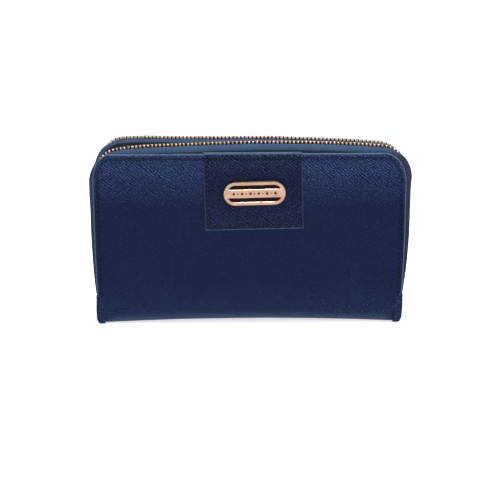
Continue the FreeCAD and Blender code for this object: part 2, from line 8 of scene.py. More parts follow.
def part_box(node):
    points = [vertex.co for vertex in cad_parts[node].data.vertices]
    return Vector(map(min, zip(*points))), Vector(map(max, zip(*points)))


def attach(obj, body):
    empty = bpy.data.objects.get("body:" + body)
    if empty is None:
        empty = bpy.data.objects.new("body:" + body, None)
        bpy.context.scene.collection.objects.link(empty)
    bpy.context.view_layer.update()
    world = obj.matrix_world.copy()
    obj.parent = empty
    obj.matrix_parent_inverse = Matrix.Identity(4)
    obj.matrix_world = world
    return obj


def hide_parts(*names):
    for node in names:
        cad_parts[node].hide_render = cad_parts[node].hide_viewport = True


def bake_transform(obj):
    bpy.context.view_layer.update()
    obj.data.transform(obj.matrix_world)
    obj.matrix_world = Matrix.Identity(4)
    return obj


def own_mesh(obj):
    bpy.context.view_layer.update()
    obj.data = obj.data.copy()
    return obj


# Looks of the double zip-around wallet. Shapes are worked out in millimetres in the CAD's frame
# (X width, front at -Y, Z up) and turned into metres when a mesh is made.

MM = 0.001
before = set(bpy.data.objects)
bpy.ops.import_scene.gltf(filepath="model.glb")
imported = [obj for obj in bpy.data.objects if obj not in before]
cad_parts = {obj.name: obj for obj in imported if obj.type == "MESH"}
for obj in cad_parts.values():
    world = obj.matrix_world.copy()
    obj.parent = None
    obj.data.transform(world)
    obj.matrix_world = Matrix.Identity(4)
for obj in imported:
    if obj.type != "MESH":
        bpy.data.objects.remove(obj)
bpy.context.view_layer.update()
ROOT, FRONT_B, BACK_B = "spine_and_divider", "front_cover", "back_cover"
rng = np.random.default_rng(20)


# ---------------------------------------------------------------- small helpers
def smooth(a, b, x):
    t = np.clip((np.asarray(x, float) - a) / (b - a), 0, 1)
    return t * t * (3 - 2 * t)


def mesh(name, verts, faces, mat, uv=None, sharp=None, painted_light=None):
    me = bpy.data.meshes.new(name)
    me.from_pydata((np.asarray(verts, float) * MM).tolist(), [], [tuple(int(i) for i in f) for f in faces])
    me.polygons.foreach_set("use_smooth", [True] * len(me.polygons))
    if uv is not None:
        layer = me.uv_layers.new(name="UVMap")
        idx = np.zeros(len(me.loops), np.int32)
        me.loops.foreach_get("vertex_index", idx)
        layer.data.foreach_set("uv", np.asarray(uv, float)[idx].ravel())
    # per-point painted light: above 0 a painted highlight, below 0 painted shade
    if painted_light is not None:
        at = me.attributes.new("painted_light", "FLOAT", "POINT")
        at.data.foreach_set("value", np.asarray(painted_light, float).ravel())
    me.update()
    if sharp:
        me.set_sharp_from_angle(angle=math.radians(sharp))
    ob = bpy.data.objects.new(name, me)
    bpy.context.scene.collection.objects.link(ob)
    me.materials.append(mat)
    return ob


def quads(nr, nc, base=0, close_c=False, flip=False):
    r = np.arange(nr - 1)[:, None]
    c = np.arange(nc if close_c else nc - 1)[None, :]
    d = (c + 1) % nc
    a = base + r * nc + c
    b = base + r * nc + d
    e = base + (r + 1) * nc + d
    f = base + (r + 1) * nc + c
    q = np.stack([a, b, e, f], -1).reshape(-1, 4)
    return q[:, ::-1] if flip else q


def shell(outer, inner, flip=False):
    """Closed mesh from two grids (nr, nc, 3) joined round their borders. Returns verts and faces."""
    nr, nc, _ = outer.shape
    v = np.concatenate([outer.reshape(-1, 3), inner.reshape(-1, 3)])
    n = nr * nc
    f = [quads(nr, nc, 0, flip=flip), quads(nr, nc, n, flip=not flip)]
    ring = [(0, c) for c in range(nc)] + [(r, nc - 1) for r in range(1, nr)]
    ring += [(nr - 1, c) for c in range(nc - 2, -1, -1)] + [(r, 0) for r in range(nr - 2, 0, -1)]
    ids = np.array([r * nc + c for r, c in ring])
    nxt = np.roll(ids, -1)
    side = np.stack([ids, ids + n, nxt + n, nxt], -1)
    f.append(side[:, ::-1] if flip else side)
    return v, np.concatenate(f)


def tube_loop(rings, flip=False, caps=True):
    """Closed mesh from rings (ns, k, 3), each a closed loop."""
    ns, k, _ = rings.shape
    f = [list(map(int, q)) for q in quads(ns, k, 0, close_c=True, flip=flip)]
    if caps:
        a = list(range(k))
        b = list(range((ns - 1) * k, ns * k))
        f.append(a if flip else a[::-1])
        f.append(b[::-1] if flip else b)
    return rings.reshape(-1, 3), f


def mirror_y(v):
    v = np.array(v, float)
    v[..., 1] *= -1
    return v


def waves(seed, n=9, low=18.0, high=60.0):
    """A gentle seeded unevenness of two coordinates in mm, about -1 to 1."""
    g = np.random.default_rng(seed)
    a = g.uniform(0, 2 * math.pi, n)
    k = 2 * math.pi / g.uniform(low, high, n)
    p = g.uniform(0, 2 * math.pi, n)

    def f(x, y):
        return sum(np.sin(k[i] * (x * math.cos(a[i]) + y * math.sin(a[i])) + p[i]) for i in range(n)) / n * 1.6

    return f


# ---------------------------------------------------------------- materials
class Nodes:
    def __init__(self, name):
        self.mat = bpy.data.materials.new(name)
        self.mat.use_nodes = True
        self.t = self.mat.node_tree
        self.t.nodes.clear()
        out = self.t.nodes.new("ShaderNodeOutputMaterial")
        self.b = self.t.nodes.new("ShaderNodeBsdfPrincipled")
        self.t.links.new(self.b.outputs[0], out.inputs[0])

    def put(self, sock, val):
        if isinstance(val, bpy.types.NodeSocket):
            self.t.links.new(val, sock)
        else:
            sock.default_value = val

    def m(self, op, a, b=0.0, c=0.0, clamp=False):
        n = self.t.nodes.new("ShaderNodeMath")
        n.operation, n.use_clamp = op, clamp
        for s, v in zip(n.inputs, (a, b, c)):
            self.put(s, v)
        return n.outputs[0]

    def uv(self):
        c = self.t.nodes.new("ShaderNodeTexCoord")
        s = self.t.nodes.new("ShaderNodeSeparateXYZ")
        self.t.links.new(c.outputs["UV"], s.inputs[0])
        return c.outputs["UV"], s.outputs[0], s.outputs[1]

    def obj(self, scale=1000.0):
        """Object coordinates in millimetres."""
        c = self.t.nodes.new("ShaderNodeTexCoord")
        v = self.t.nodes.new("ShaderNodeVectorMath")
        v.operation = "SCALE"
        self.t.links.new(c.outputs["Object"], v.inputs[0])
        v.inputs["Scale"].default_value = scale
        s = self.t.nodes.new("ShaderNodeSeparateXYZ")
        self.t.links.new(v.outputs[0], s.inputs[0])
        return v.outputs[0], s.outputs[0], s.outputs[1], s.outputs[2]

    def attr(self, name):
        n = self.t.nodes.new("ShaderNodeAttribute")
        n.attribute_name = name
        return n.outputs["Fac"]

    def noise(self, vec, scale, detail=2.0, rough=0.5):
        n = self.t.nodes.new("ShaderNodeTexNoise")
        self.put(n.inputs["Vector"], vec)
        n.inputs["Scale"].default_value = scale
        n.inputs["Detail"].default_value = detail
        n.inputs["Roughness"].default_value = rough
        return n.outputs[0]

    def voronoi(self, vec, scale, feature="F1"):
        n = self.t.nodes.new("ShaderNodeTexVoronoi")
        n.feature = feature
        self.put(n.inputs["Vector"], vec)
        n.inputs["Scale"].default_value = scale
        return n.outputs["Distance"]

    def mix(self, fac, a, b):
        n = self.t.nodes.new("ShaderNodeMix")
        n.data_type = "RGBA"
        self.put(n.inputs[0], fac)
        self.put(n.inputs[6], a)
        self.put(n.inputs[7], b)
        return n.outputs[2]

    def rng(self, v, a, b, c, d):
        n = self.t.nodes.new("ShaderNodeMapRange")
        n.clamp = True
        self.put(n.inputs[0], v)
        for i, x in enumerate((a, b, c, d)):
            n.inputs[i + 1].default_value = x
        return n.outputs[0]

    def bump(self, height, strength, dist_mm, normal=None):
        n = self.t.nodes.new("ShaderNodeBump")
        n.inputs["Strength"].default_value = strength
        n.inputs["Distance"].default_value = dist_mm * MM
        self.put(n.inputs["Height"], height)
        if normal is not None:
            self.put(n.inputs["Normal"], normal)
        return n.outputs[0]


def srgb(r, g, b, k=1.0):
    def f(c):
        c = c / 255
        return (c / 12.92 if c <= 0.04045 else ((c + 0.055) / 1.055) ** 2.4) * k

    return (f(r), f(g), f(b), 1.0)


def saffiano(name, base, light, pitch=1.2, depth=0.10, rough=(0.34, 0.56), wear_and_highlight=(78.0, 118.0), edge_highlight_col=(0.075, 0.125, 0.19, 1.0), low=0.13):
    """Cross-hatch pressed leather: two crossing sets of fine diagonal ridges, the ridge tips painted lighter towards
    the top and the bottom as a painted highlight.
    """
    n = Nodes(name)
    uv, u, v = n.uv()
    wob = n.m("SUBTRACT", n.noise(uv, 0.16, 3.0), 0.5)
    wob2 = n.m("SUBTRACT", n.noise(uv, 0.9, 2.0), 0.5)
    d1 = n.m("ADD", n.m("MULTIPLY", u, 0.60), n.m("MULTIPLY", v, 0.80))
    d2 = n.m("SUBTRACT", n.m("MULTIPLY", u, 0.80), n.m("MULTIPLY", v, 0.60))
    k = 2 * math.pi / pitch
    r1 = n.m("SINE", n.m("ADD", n.m("MULTIPLY", d1, k), n.m("ADD", n.m("MULTIPLY", wob, 20.0), n.m("MULTIPLY", wob2, 6.0))))
    r2 = n.m("SINE", n.m("ADD", n.m("MULTIPLY", d2, k * 1.3), n.m("MULTIPLY", wob2, 7.0)))
    broken = n.rng(n.noise(uv, 1.0, 3.0, 0.6), 0.40, 0.58, 0.05, 1.0)
    broken2 = n.rng(n.noise(uv, 0.7, 2.0, 0.6), 0.42, 0.60, 0.0, 1.0)
    h = n.m("ADD", n.m("MULTIPLY", n.m("MULTIPLY", r1, broken), 0.52), n.m("MULTIPLY", n.m("MULTIPLY", r2, broken2), 0.34))
    h = n.m("ADD", h, n.m("MULTIPLY", n.voronoi(uv, 1.3), -0.20))
    h = n.m("ADD", h, n.m("MULTIPLY", n.noise(uv, 4.0, 3.0), 0.26))
    h01 = n.rng(h, -0.30, 0.46, 0.0, 1.0)
    patch = n.noise(uv, 0.035, 3.0)
    # painted highlight: the grain's tips are painted lighter over a band near the top and towards the bottom
    painted_highlight = n.m("MAXIMUM", n.rng(v, wear_and_highlight[0], wear_and_highlight[1], low, 1.0), n.rng(v, 44.0, 4.0, low, low + 0.46))
    tips = n.m("MULTIPLY", n.m("POWER", h01, 2.6), painted_highlight)
    tone = n.m("ADD", tips, n.m("MULTIPLY", n.m("SUBTRACT", patch, 0.5), 0.07))
    # a painted highlight along the outline and painted shade in the stitch groove, from the mesh's per-point attribute
    painted_light = n.attr("painted_light")
    edge = n.m("MULTIPLY", n.rng(painted_light, 0.0, 1.0, 0.0, 1.0), n.rng(n.noise(uv, 0.5, 3.0), 0.3, 0.6, 0.55, 1.0))
    seam = n.rng(painted_light, 0.0, -1.0, 0.0, 0.75)
    col = n.mix(n.rng(tone, 0.0, 1.0, 0.0, 1.0), base, light)
    col = n.mix(n.m("MULTIPLY", edge, 0.85), col, edge_highlight_col)
    n.put(n.b.inputs["Base Color"], n.mix(seam, col, (base[0] * 0.25, base[1] * 0.25, base[2] * 0.3, 1.0)))
    r = n.m("ADD", n.m("MULTIPLY", n.m("SUBTRACT", 1.0, h01), rough[1] - rough[0]), rough[0])
    r = n.m("ADD", r, n.m("MULTIPLY", n.m("SUBTRACT", patch, 0.5), 0.12), clamp=True)
    n.put(n.b.inputs["Roughness"], r)
    n.b.inputs["Specular IOR Level"].default_value = 0.06
    n.b.inputs["IOR"].default_value = 1.48
    n.put(n.b.inputs["Normal"], n.bump(n.m("MULTIPLY", h, n.rng(v, wear_and_highlight[0] - 6, wear_and_highlight[1] - 6, 0.42, 1.0)), 1.0, depth))
    return n.mat


def smooth_leather(name, base, light, depth=0.03, spec=0.3):
    """Plain leather with pores and fine creases."""
    n = Nodes(name)
    uv, u, v = n.uv()
    cells = n.voronoi(uv, 1.9)
    fine = n.noise(uv, 3.2, 4.0)
    h = n.m("ADD", n.m("MULTIPLY", cells, 0.6), n.m("MULTIPLY", fine, 0.5))
    patch = n.noise(uv, 0.05, 3.0)
    n.put(n.b.inputs["Base Color"], n.mix(n.rng(n.m("ADD", n.m("MULTIPLY", h, 0.6), n.m("MULTIPLY", patch, 0.5)), 0.2, 0.95, 0, 1), base, light))
    n.put(n.b.inputs["Roughness"], n.rng(h, 0.1, 0.9, 0.42, 0.6))
    n.b.inputs["Specular IOR Level"].default_value = spec
    n.put(n.b.inputs["Normal"], n.bump(h, 0.7, depth))
    return n.mat


def weave(name, base, light, pitch=0.62, depth=0.07, herringbone=9.0, sheen=0.25, teeth_shade=None, valley_shade=None):
    """Woven tape or twill: u runs along the strip and v across it, in mm."""
    n = Nodes(name)
    uv, u, v = n.uv()
    zig = n.m("PINGPONG", v, herringbone)
    k = 2 * math.pi / pitch
    wob = n.m("MULTIPLY", n.m("SUBTRACT", n.noise(uv, 0.8, 2.0), 0.5), 1.6)
    rib = n.m("SINE", n.m("ADD", n.m("MULTIPLY", n.m("ADD", u, n.m("MULTIPLY", zig, 0.8)), k), wob))
    weft = n.m("SINE", n.m("MULTIPLY", v, k * 1.7))
    h = n.m("ADD", n.m("MULTIPLY", rib, 0.6), n.m("MULTIPLY", n.m("MULTIPLY", weft, rib), 0.25))
    h = n.m("ADD", h, n.m("MULTIPLY", n.noise(uv, 7.0, 2.0), 0.35))
    patch = n.noise(uv, 0.06, 2.0)
    tone = n.m("ADD", n.m("MULTIPLY", n.rng(h, -0.8, 1.0, 0, 1), 0.7), n.m("MULTIPLY", patch, 0.4))
    col = n.mix(n.rng(tone, 0.15, 0.95, 0, 1), base, light)
    if teeth_shade is not None:
        # painted shade under the teeth, along the edge they are clamped to
        col = n.mix(n.rng(v, teeth_shade[0], teeth_shade[1], 0.9, 0.0), col, (0.012, 0.012, 0.016, 1.0))
        # painted shade down the sides, below the top of the arch
        col = n.mix(n.rng(n.attr("painted_light"), 0.0, 1.0, 0.0, 0.97), col, (0.005, 0.009, 0.026, 1.0))
    if valley_shade is not None:
        # painted shade where the tape is sewn in, far from the teeth
        col = n.mix(n.rng(v, valley_shade[0], valley_shade[1], 0.0, 0.93), col, (0.003, 0.004, 0.009, 1.0))
    n.put(n.b.inputs["Base Color"], col)
    n.put(n.b.inputs["Roughness"], n.rng(h, -0.8, 1.0, 0.86, 0.66))
    n.b.inputs["Specular IOR Level"].default_value = 0.25
    n.b.inputs["Sheen Weight"].default_value = sheen
    n.b.inputs["Sheen Roughness"].default_value = 0.35
    n.put(n.b.inputs["Normal"], n.bump(h, 0.8, depth))
    return n.mat


def metal(name, base, wear_and_highlight, rough=(0.16, 0.34), grain=4.0, bump=0.01, recess_shade=False, rim_shade=None):
    """Plated metal with fine scratches, paler and duller in scuffed patches."""
    n = Nodes(name)
    co, x, y, z = n.obj()
    fine = n.noise(co, grain, 4.0, 0.6)
    wide = n.noise(co, 0.22, 3.0)
    scratch = n.m("ABSOLUTE", n.m("SINE", n.m("ADD", n.m("MULTIPLY", n.m("ADD", x, z), 7.0), n.m("MULTIPLY", fine, 16.0))))
    h = n.m("ADD", n.m("MULTIPLY", fine, 0.7), n.m("MULTIPLY", scratch, 0.15))
    col = n.mix(n.rng(n.m("ADD", n.m("MULTIPLY", fine, 0.5), n.m("MULTIPLY", wide, 0.6)), 0.3, 0.8, 0, 1), base, wear_and_highlight)
    if recess_shade:
        # painted shade on the interlocking heads and the foot of each tooth
        uv, u, v = n.uv()
        head = n.rng(u, 0.55, 1.35, 0.93, 0.0)
        foot = n.rng(v, -0.7, 0.45, 0.93, 0.0)
        col = n.mix(n.m("MAXIMUM", head, foot), col, (0.020, 0.010, 0.006, 1.0))
    if rim_shade is not None:
        # painted shade in a narrow line round the outer edge of the plate
        cx, cz, half, rad, tilt = rim_shade
        dx, dz = n.m("SUBTRACT", x, cx), n.m("SUBTRACT", z, cz)
        px = n.m("ADD", n.m("MULTIPLY", dx, math.cos(tilt)), n.m("MULTIPLY", dz, math.sin(tilt)))
        pz = n.m("SUBTRACT", n.m("MULTIPLY", dz, math.cos(tilt)), n.m("MULTIPLY", dx, math.sin(tilt)))
        qx = n.m("MAXIMUM", n.m("SUBTRACT", n.m("ABSOLUTE", px), half - rad), 0.0)
        away = n.m("SQRT", n.m("ADD", n.m("MULTIPLY", qx, qx), n.m("MULTIPLY", pz, pz)))
        col = n.mix(n.rng(away, rad - 0.62, rad - 0.40, 0.0, 0.96), col, (0.016, 0.005, 0.004, 1.0))
    n.put(n.b.inputs["Base Color"], col)
    n.b.inputs["Metallic"].default_value = 1.0
    n.put(n.b.inputs["Roughness"], n.rng(n.m("ADD", n.m("MULTIPLY", fine, 0.55), n.m("MULTIPLY", wide, 0.5)), 0.3, 0.75, rough[0], rough[1]))
    n.put(n.b.inputs["Normal"], n.bump(h, 0.5, bump))
    return n.mat


def plate_outline():
    """Centre, half length, end radius and tilt of the plate, in millimetres."""
    lo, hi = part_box("nameplate_frame")
    return (hi[0] + lo[0]) * 500, (hi[2] + lo[2]) * 500, 19.3, 7.5, math.radians(1.2)


def thread_mat(name, base, light):
    n = Nodes(name)
    co, x, y, z = n.obj()
    twist = n.m("SINE", n.m("MULTIPLY", n.m("ADD", n.m("ADD", x, z), n.m("MULTIPLY", y, 1.3)), 2 * math.pi / 0.34))
    fuzz = n.noise(co, 9.0, 2.0)
    h = n.m("ADD", n.m("MULTIPLY", twist, 0.5), n.m("MULTIPLY", fuzz, 0.5))
    n.put(n.b.inputs["Base Color"], n.mix(n.rng(h, -0.3, 0.9, 0, 1), base, light))
    n.put(n.b.inputs["Roughness"], n.rng(fuzz, 0.3, 0.7, 0.5, 0.75))
    n.b.inputs["Sheen Weight"].default_value = 0.05
    n.b.inputs["Specular IOR Level"].default_value = 0.2
    n.put(n.b.inputs["Normal"], n.bump(h, 0.6, 0.04))
    return n.mat


# both leathers get a painted highlight: grain tips painted lighter near the top and the bottom
M_SKIN = saffiano("navy_crosshatch_leather", srgb(6, 17, 48), srgb(60, 78, 118), pitch=1.36, depth=0.085, wear_and_highlight=(90.0, 114.0), low=0.14)
M_TAB = saffiano("navy_tab_leather", srgb(3, 9, 33), srgb(54, 69, 107), pitch=1.36, depth=0.08, wear_and_highlight=(24.0, 48.0), low=0.15)
M_EDGE = smooth_leather("navy_edge_leather", srgb(10, 15, 34), srgb(24, 33, 60), spec=0.08)
M_SLOT = smooth_leather("navy_slot_leather", srgb(22, 31, 64), srgb(42, 55, 92))
M_LINING = weave("navy_twill_lining", srgb(28, 40, 78), srgb(56, 74, 120), pitch=0.8, depth=0.05, herringbone=400.0, sheen=0.3)
# the zip tapes get painted shade under the teeth and where they are sewn in
M_TAPE = weave("blue_zip_tape", srgb(17, 35, 60), srgb(50, 78, 114), pitch=0.7, depth=0.07, herringbone=2.2, sheen=0.12, teeth_shade=(1.0, 1.9), valley_shade=(7.3, 8.2))
M_TAPE_D = weave("blue_zip_tape_divider_side", srgb(17, 35, 60), srgb(50, 78, 114), pitch=0.7, depth=0.07, herringbone=2.2, sheen=0.12, teeth_shade=(1.0, 1.9), valley_shade=(6.2, 7.0))
M_COIN_TAPE = weave("blue_coin_zip_tape", srgb(28, 44, 66), srgb(70, 92, 120), pitch=0.7, depth=0.07, herringbone=2.2, sheen=0.12)
# the zip teeth get painted shade on their heads and feet
M_TEETH = metal("rose_gold_teeth", srgb(202, 164, 138), srgb(244, 228, 212), rough=(0.20, 0.38), grain=3.0, recess_shade=True)
M_COIN_TEETH = metal("rose_gold_coin_teeth", srgb(202, 164, 138), srgb(244, 228, 212), rough=(0.20, 0.38), grain=3.0)
M_METAL = metal("rose_gold_fittings", srgb(205, 150, 122), srgb(232, 188, 164), rough=(0.14, 0.3), grain=5.0)
PLATE_RIM = plate_outline()
# the plate gets painted shade in a narrow line round its outer edge
M_PLATE = metal("rose_gold_plate", srgb(154, 120, 101), srgb(196, 166, 148), rough=(0.18, 0.40), grain=5.0, bump=0.02, rim_shade=PLATE_RIM)
M_DARK = smooth_leather("dark_maroon_inlay", srgb(16, 4, 4), srgb(44, 16, 14), depth=0.04, spec=0.06)
M_THREAD = thread_mat("navy_thread", srgb(24, 33, 66), srgb(52, 66, 104))
M_THREAD_D = thread_mat("dark_navy_thread", srgb(6, 10, 28), srgb(20, 30, 60))
M_BOARD = smooth_leather("bonded_board", srgb(96, 76, 56), srgb(140, 116, 88))
M_ENAMEL = metal("engraved_marks", srgb(70, 34, 24), srgb(104, 58, 42), rough=(0.4, 0.6), grain=6.0)


# ---------------------------------------------------------------- the zip's arch, as in the CAD
class Arch:
    def __init__(self, foot, tilt, top, radius):
        self.t = math.radians(tilt)
        self.foot, self.top, self.r = foot, top, radius
        self.cz = top - radius
        self.cx = foot[0] + ((self.cz - foot[1]) * math.sin(self.t) - radius) / math.cos(self.t)
        self.u = (math.sin(self.t), math.cos(self.t))
        nx, nz = math.cos(self.t), -math.sin(self.t)
        self.side = (self.cx + radius * nx - foot[0]) * self.u[0] + (self.cz + radius * nz - foot[1]) * self.u[1]
        self.corner = radius * (math.pi / 2 + self.t)
        self.length = 2 * (self.side + self.corner + self.cx)

    def half_width(self, z, off=0.0):
        """Half width at height z of the arch moved outward by off."""
        z = np.asarray(z, float)
        r = self.r + off
        straight = self.foot[0] + (z - self.foot[1]) * math.tan(self.t) + off / math.cos(self.t)
        dz = np.clip((z - self.cz) / r, -1, 1)
        arc = self.cx + r * np.sqrt(1 - dz * dz)
        return np.where(z <= self.cz - r * math.sin(self.t), straight, arc)

    def at(self, s):
        """x, z and outward normal (nx, nz) for an array of distances from the right-hand foot."""
        s = np.asarray(s, float)
        left = s > self.length / 2
        q = np.where(left, self.length - s, s)
        x, z = self.foot[0] + q * self.u[0], self.foot[1] + q * self.u[1]
        a = np.full(q.shape, -self.t)
        k = q > self.side
        ac = -self.t + (q - self.side) / self.r
        x, z, a = np.where(k, self.cx + self.r * np.cos(ac), x), np.where(k, self.cz + self.r * np.sin(ac), z), np.where(k, ac, a)
        k = q > self.side + self.corner
        x, z, a = np.where(k, self.cx - (q - self.side - self.corner), x), np.where(k, self.top, z), np.where(k, math.pi / 2, a)
        sign = np.where(left, -1.0, 1.0)
        return x * sign, z, np.cos(a) * sign, np.sin(a)


zipper = Arch((92.0, 15.0), 6.1, 111.0, 18.0)
ZIP_Y = 9.5
RUN_END = 67.3          # the slider's highest place along the right-hand run

# how far each zip rises or sinks from the level, and leans sideways, along its top (x, mm)
FRONT_RISE = ([-101, -94, -87.5, -75, -62, -46, -30, 0, 30, 52, 78, 85, 92, 101], [-4.0, -3.6, -3.5, -2.0, -1.0, -0.4, 0.3, 1.2, 1.3, 0.8, -0.5, -1.0, -1.2, -1.2])
BACK_RISE = ([-101, -90, -82, -71, -48, -25, 0, 14, 27, 41, 55, 68, 82, 90, 101], [2.0, 2.6, 2.9, 3.4, 3.1, 3.1, 3.2, 3.3, 2.8, 2.4, 1.8, 1.2, 0.2, -0.2, -0.2])
FRONT_LEAN = ([-101, -92, -80, -60, 60, 80, 92, 101], [2.2, 1.8, 0.6, 0.0, 0.0, -0.3, -0.8, -0.8])
BACK_LEAN = ([-101, -90, -75, -40, 100], [2.4, 2.2, 1.0, 0.0, 0.0])


def spline(table, x):
    """A smooth curve through the table's points."""
    xs, ys = np.array(table[0], float), np.array(table[1], float)
    x = np.clip(np.asarray(x, float), xs[0], xs[-1])
    d = np.gradient(ys, xs)
    i = np.clip(np.searchsorted(xs, x) - 1, 0, len(xs) - 2)
    h = xs[i + 1] - xs[i]
    t = (x - xs[i]) / h
    return (
        (2 * t**3 - 3 * t**2 + 1) * ys[i]
        + (t**3 - 2 * t**2 + t) * h * d[i]
        + (-2 * t**3 + 3 * t**2) * ys[i + 1]
        + (t**3 - t**2) * h * d[i + 1]
    )


def warp(v, back):
    """Lets the soft zip wander from its ideal arch: v is in the row frame, in mm, with the front at -Y."""
    v = np.array(v, float)
    w = smooth(75, 105, v[..., 2])
    x = v[..., 0].copy()
    v[..., 2] += w * (spline(BACK_RISE if back else FRONT_RISE, x) - 0.0056 * x)
    v[..., 0] += w * spline(BACK_LEAN if back else FRONT_LEAN, x)
    return v


# ---------------------------------------------------------------- covers' outer skin
TOP, R_EDGE = 106.9, 1.35
CORNER = {"L": (11.0, 16.5), "R": (13.5, 18.0)}
OUT = {"L": (96.5, 1.1), "R": (96.2, 2.7)}


def panel_half(z, side, inset=0.0):
    z = np.asarray(z, float)
    ax, az = CORNER[side]
    w = OUT[side][0] - OUT[side][1] * np.clip(1 - z / 62.0, 0, 1.2) ** 2.0 - inset
    ax, az, top = ax - inset * 0.9, az - inset * 0.9, TOP - inset
    t = np.clip((z - (top - az)) / az, 0, 1)
    return w - ax + ax * np.sqrt(np.clip(1 - t * t, 0, 1))


def panel_dist(x, z):
    """Distance in from the cover's outline, in mm."""
    out = np.zeros(np.broadcast(x, z).shape)
    for side, sign in (("L", -1), ("R", 1)):
        ax, az = CORNER[side]
        w = OUT[side][0] - OUT[side][1] * np.clip(1 - z / 62.0, 0, 1.2) ** 2.0
        X = x * sign
        d = np.minimum(w - X, TOP - z)
        ex, ez = (X - (w - ax)) / ax, (z - (TOP - az)) / az
        rho = np.hypot(ex, ez)
        g = np.hypot(ex / ax, ez / az) / np.maximum(rho, 1e-6)
        corner = (X > w - ax) & (z > TOP - az)
        d = np.where(corner, (1 - rho) / np.maximum(g, 1e-6), d)
        out = np.where(x * sign >= 0, d, out)
    return out


undulate = {"front": waves(3), "back": waves(11)}
dimples = {"front": waves(5, 14, 7.0, 16.0), "back": waves(6, 14, 7.0, 16.0)}


def crown(x, z):
    """The padding's gentle crown, leaning back towards the top edge."""
    d = np.maximum(panel_dist(x, z), 0)
    return 0.42 * smooth(2, 34, d) - 0.75 * np.clip((z - (TOP - 16)) / 16, 0, 1) ** 2


def skin_height(x, z, which):
    """How far the leather stands out from the flat cover at (x, z), before the rounded edge."""
    d = np.maximum(panel_dist(x, z), 0)
    h = crown(x, z)
    h = h + 0.26 * np.exp(-(((d - 1.75) / 0.75) ** 2))               # rolled edge over the turned leather
    h = h - 0.42 * np.exp(-(((d - 3.15) / 0.50) ** 2))               # the stitching pulls a groove
    quiet = smooth(2, 12, d)
    h = h + quiet * (0.12 * undulate[which](x, z) + 0.035 * dimples[which](x, z))
    return h * smooth(4, 14, z) + 0.0


def edge_drop(d, r=R_EDGE):
    """Fall of a rounded edge of radius r at distance d from the outline."""
    t = np.clip(d / r, 0, 1)
    return r * (1 - np.sqrt(np.clip(1 - (1 - t) ** 2, 0, 1)))


def skin_y(x, z, which="front"):
    """The skin's outer surface on the flat of the cover, as a distance from the middle plane."""
    d = panel_dist(x, z)
    return 20.0 + skin_height(x, z, which) - edge_drop(d)


def skin(which):
    # profile rows from the middle of the spine, round the crease and up the cover (front at -Y)
    rows = []
    for y in np.linspace(0, -12, 9)[:-1]:
        rows.append((y, 0.0, 0.0, -1.0))
    for a in np.radians(np.linspace(0, 90, 18)):
        rows.append((-12 - 8 * math.sin(a), 8 - 8 * math.cos(a), -math.sin(a), -math.cos(a)))
    az = 18.0
    for z in np.arange(9.4, TOP - az - 0.5, 1.45):
        rows.append((-20.0, z, -1.0, 0.0))
    for a in np.radians(np.concatenate([np.linspace(0, 80, 24), np.linspace(82, 90, 8)])):
        rows.append((-20.0, TOP - az + az * math.sin(a), -1.0, 0.0))
    rows = np.array(rows)
    fine = np.concatenate([np.arange(0, 1.3, 0.18), np.arange(1.3, 5.4, 0.3)])
    edge = fine / 96.6
    mid = np.linspace(edge[-1] + 0.012, 1.0, 48)
    half = np.concatenate([edge, mid])                      # 0 at the outline, 1 at the middle
    u = np.concatenate([-(1 - half), (1 - half)[::-1][1:]])
    Y0, Z0, NY, NZ = (rows[:, i][:, None] for i in range(4))
    U = u[None, :]
    zc = np.minimum(Z0, TOP)
    shrink = 1.2 * (1 - smooth(0, 3.5, Z0))
    hl = panel_half(zc, "L") - shrink
    hr = panel_half(zc, "R") - shrink
    X = np.where(U < 0, U * hl, U * hr)
    Z = Z0 + 0 * X
    d = np.where(Z0 > 9, panel_dist(X, Z), np.where(U < 0, hl + X, hr - X))
    h = np.where(Z0 > 4, skin_height(X, Z, which), 0.0) - edge_drop(np.maximum(d, 0))
    low = 1 - smooth(3, 13, Z0)
    h = h + low * 0.10 * undulate[which](X, Y0 + 40)
    Y = Y0 + NY * h
    Zo = Z + NZ * h
    arch = 2.1 * (1 - np.clip(np.abs(X) / 90, 0, 1) ** 2) * (1 - smooth(2, 18, Z0))
    Zo = np.maximum(Zo, 0.0) + arch
    t = 1.0 + 1.25 * smooth(8.0, 11.0, Z0)
    inner_h = -t
    Xi = X * (1 - 0.35 / 96)
    Yi, Zi = Y0 + NY * inner_h + 0 * X, Z0 + NZ * inner_h + arch
    Zi = np.where(Z0 > TOP - 1, np.minimum(Zi, TOP - 0.35), Zi)
    outer = np.stack([X, Y, Zo], -1)
    inner = np.stack([Xi, Yi, Zi], -1)
    v, f = shell(outer, inner, flip=False)
    # arc length up the profile for the grain
    step = np.hypot(np.diff(rows[:, 0]), np.diff(rows[:, 1]))
    arc = np.concatenate([[0], np.cumsum(step)])[:, None] + 0 * X
    uv = np.stack([X, arc], -1).reshape(-1, 2)
    uv = np.concatenate([uv, uv + 3.3])
    # painted light on the skin: a painted highlight along the outline, painted shade in the stitch groove, and a
    # painted reflection of the floor on the rounded fold above the spine
    painted_light = np.exp(-(((d - 0.25) / 0.5) ** 2)) - 0.95 * np.exp(-(((d - 3.15) / 0.6) ** 2)) * smooth(14, 20, Z0)
    painted_light = painted_light + 0.30 * np.exp(-(((arc - 17.0) / 3.8) ** 2)) * smooth(2, 12, d)
    painted_light = np.concatenate([painted_light.reshape(-1), np.zeros(painted_light.size)])
    if which == "back":
        v = mirror_y(v)
        f = f[:, ::-1]
        uv = uv * np.array([-1, 1])
    return mesh(which + "_skin", v, f, M_SKIN, uv, sharp=70, painted_light=painted_light)


front_skin = skin("front")
back_skin = skin("back")
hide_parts("front_cover_leather", "front_cover_board", "spine_leather")
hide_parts("back_cover_leather", "back_cover_board")
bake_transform(front_skin)
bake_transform(back_skin)


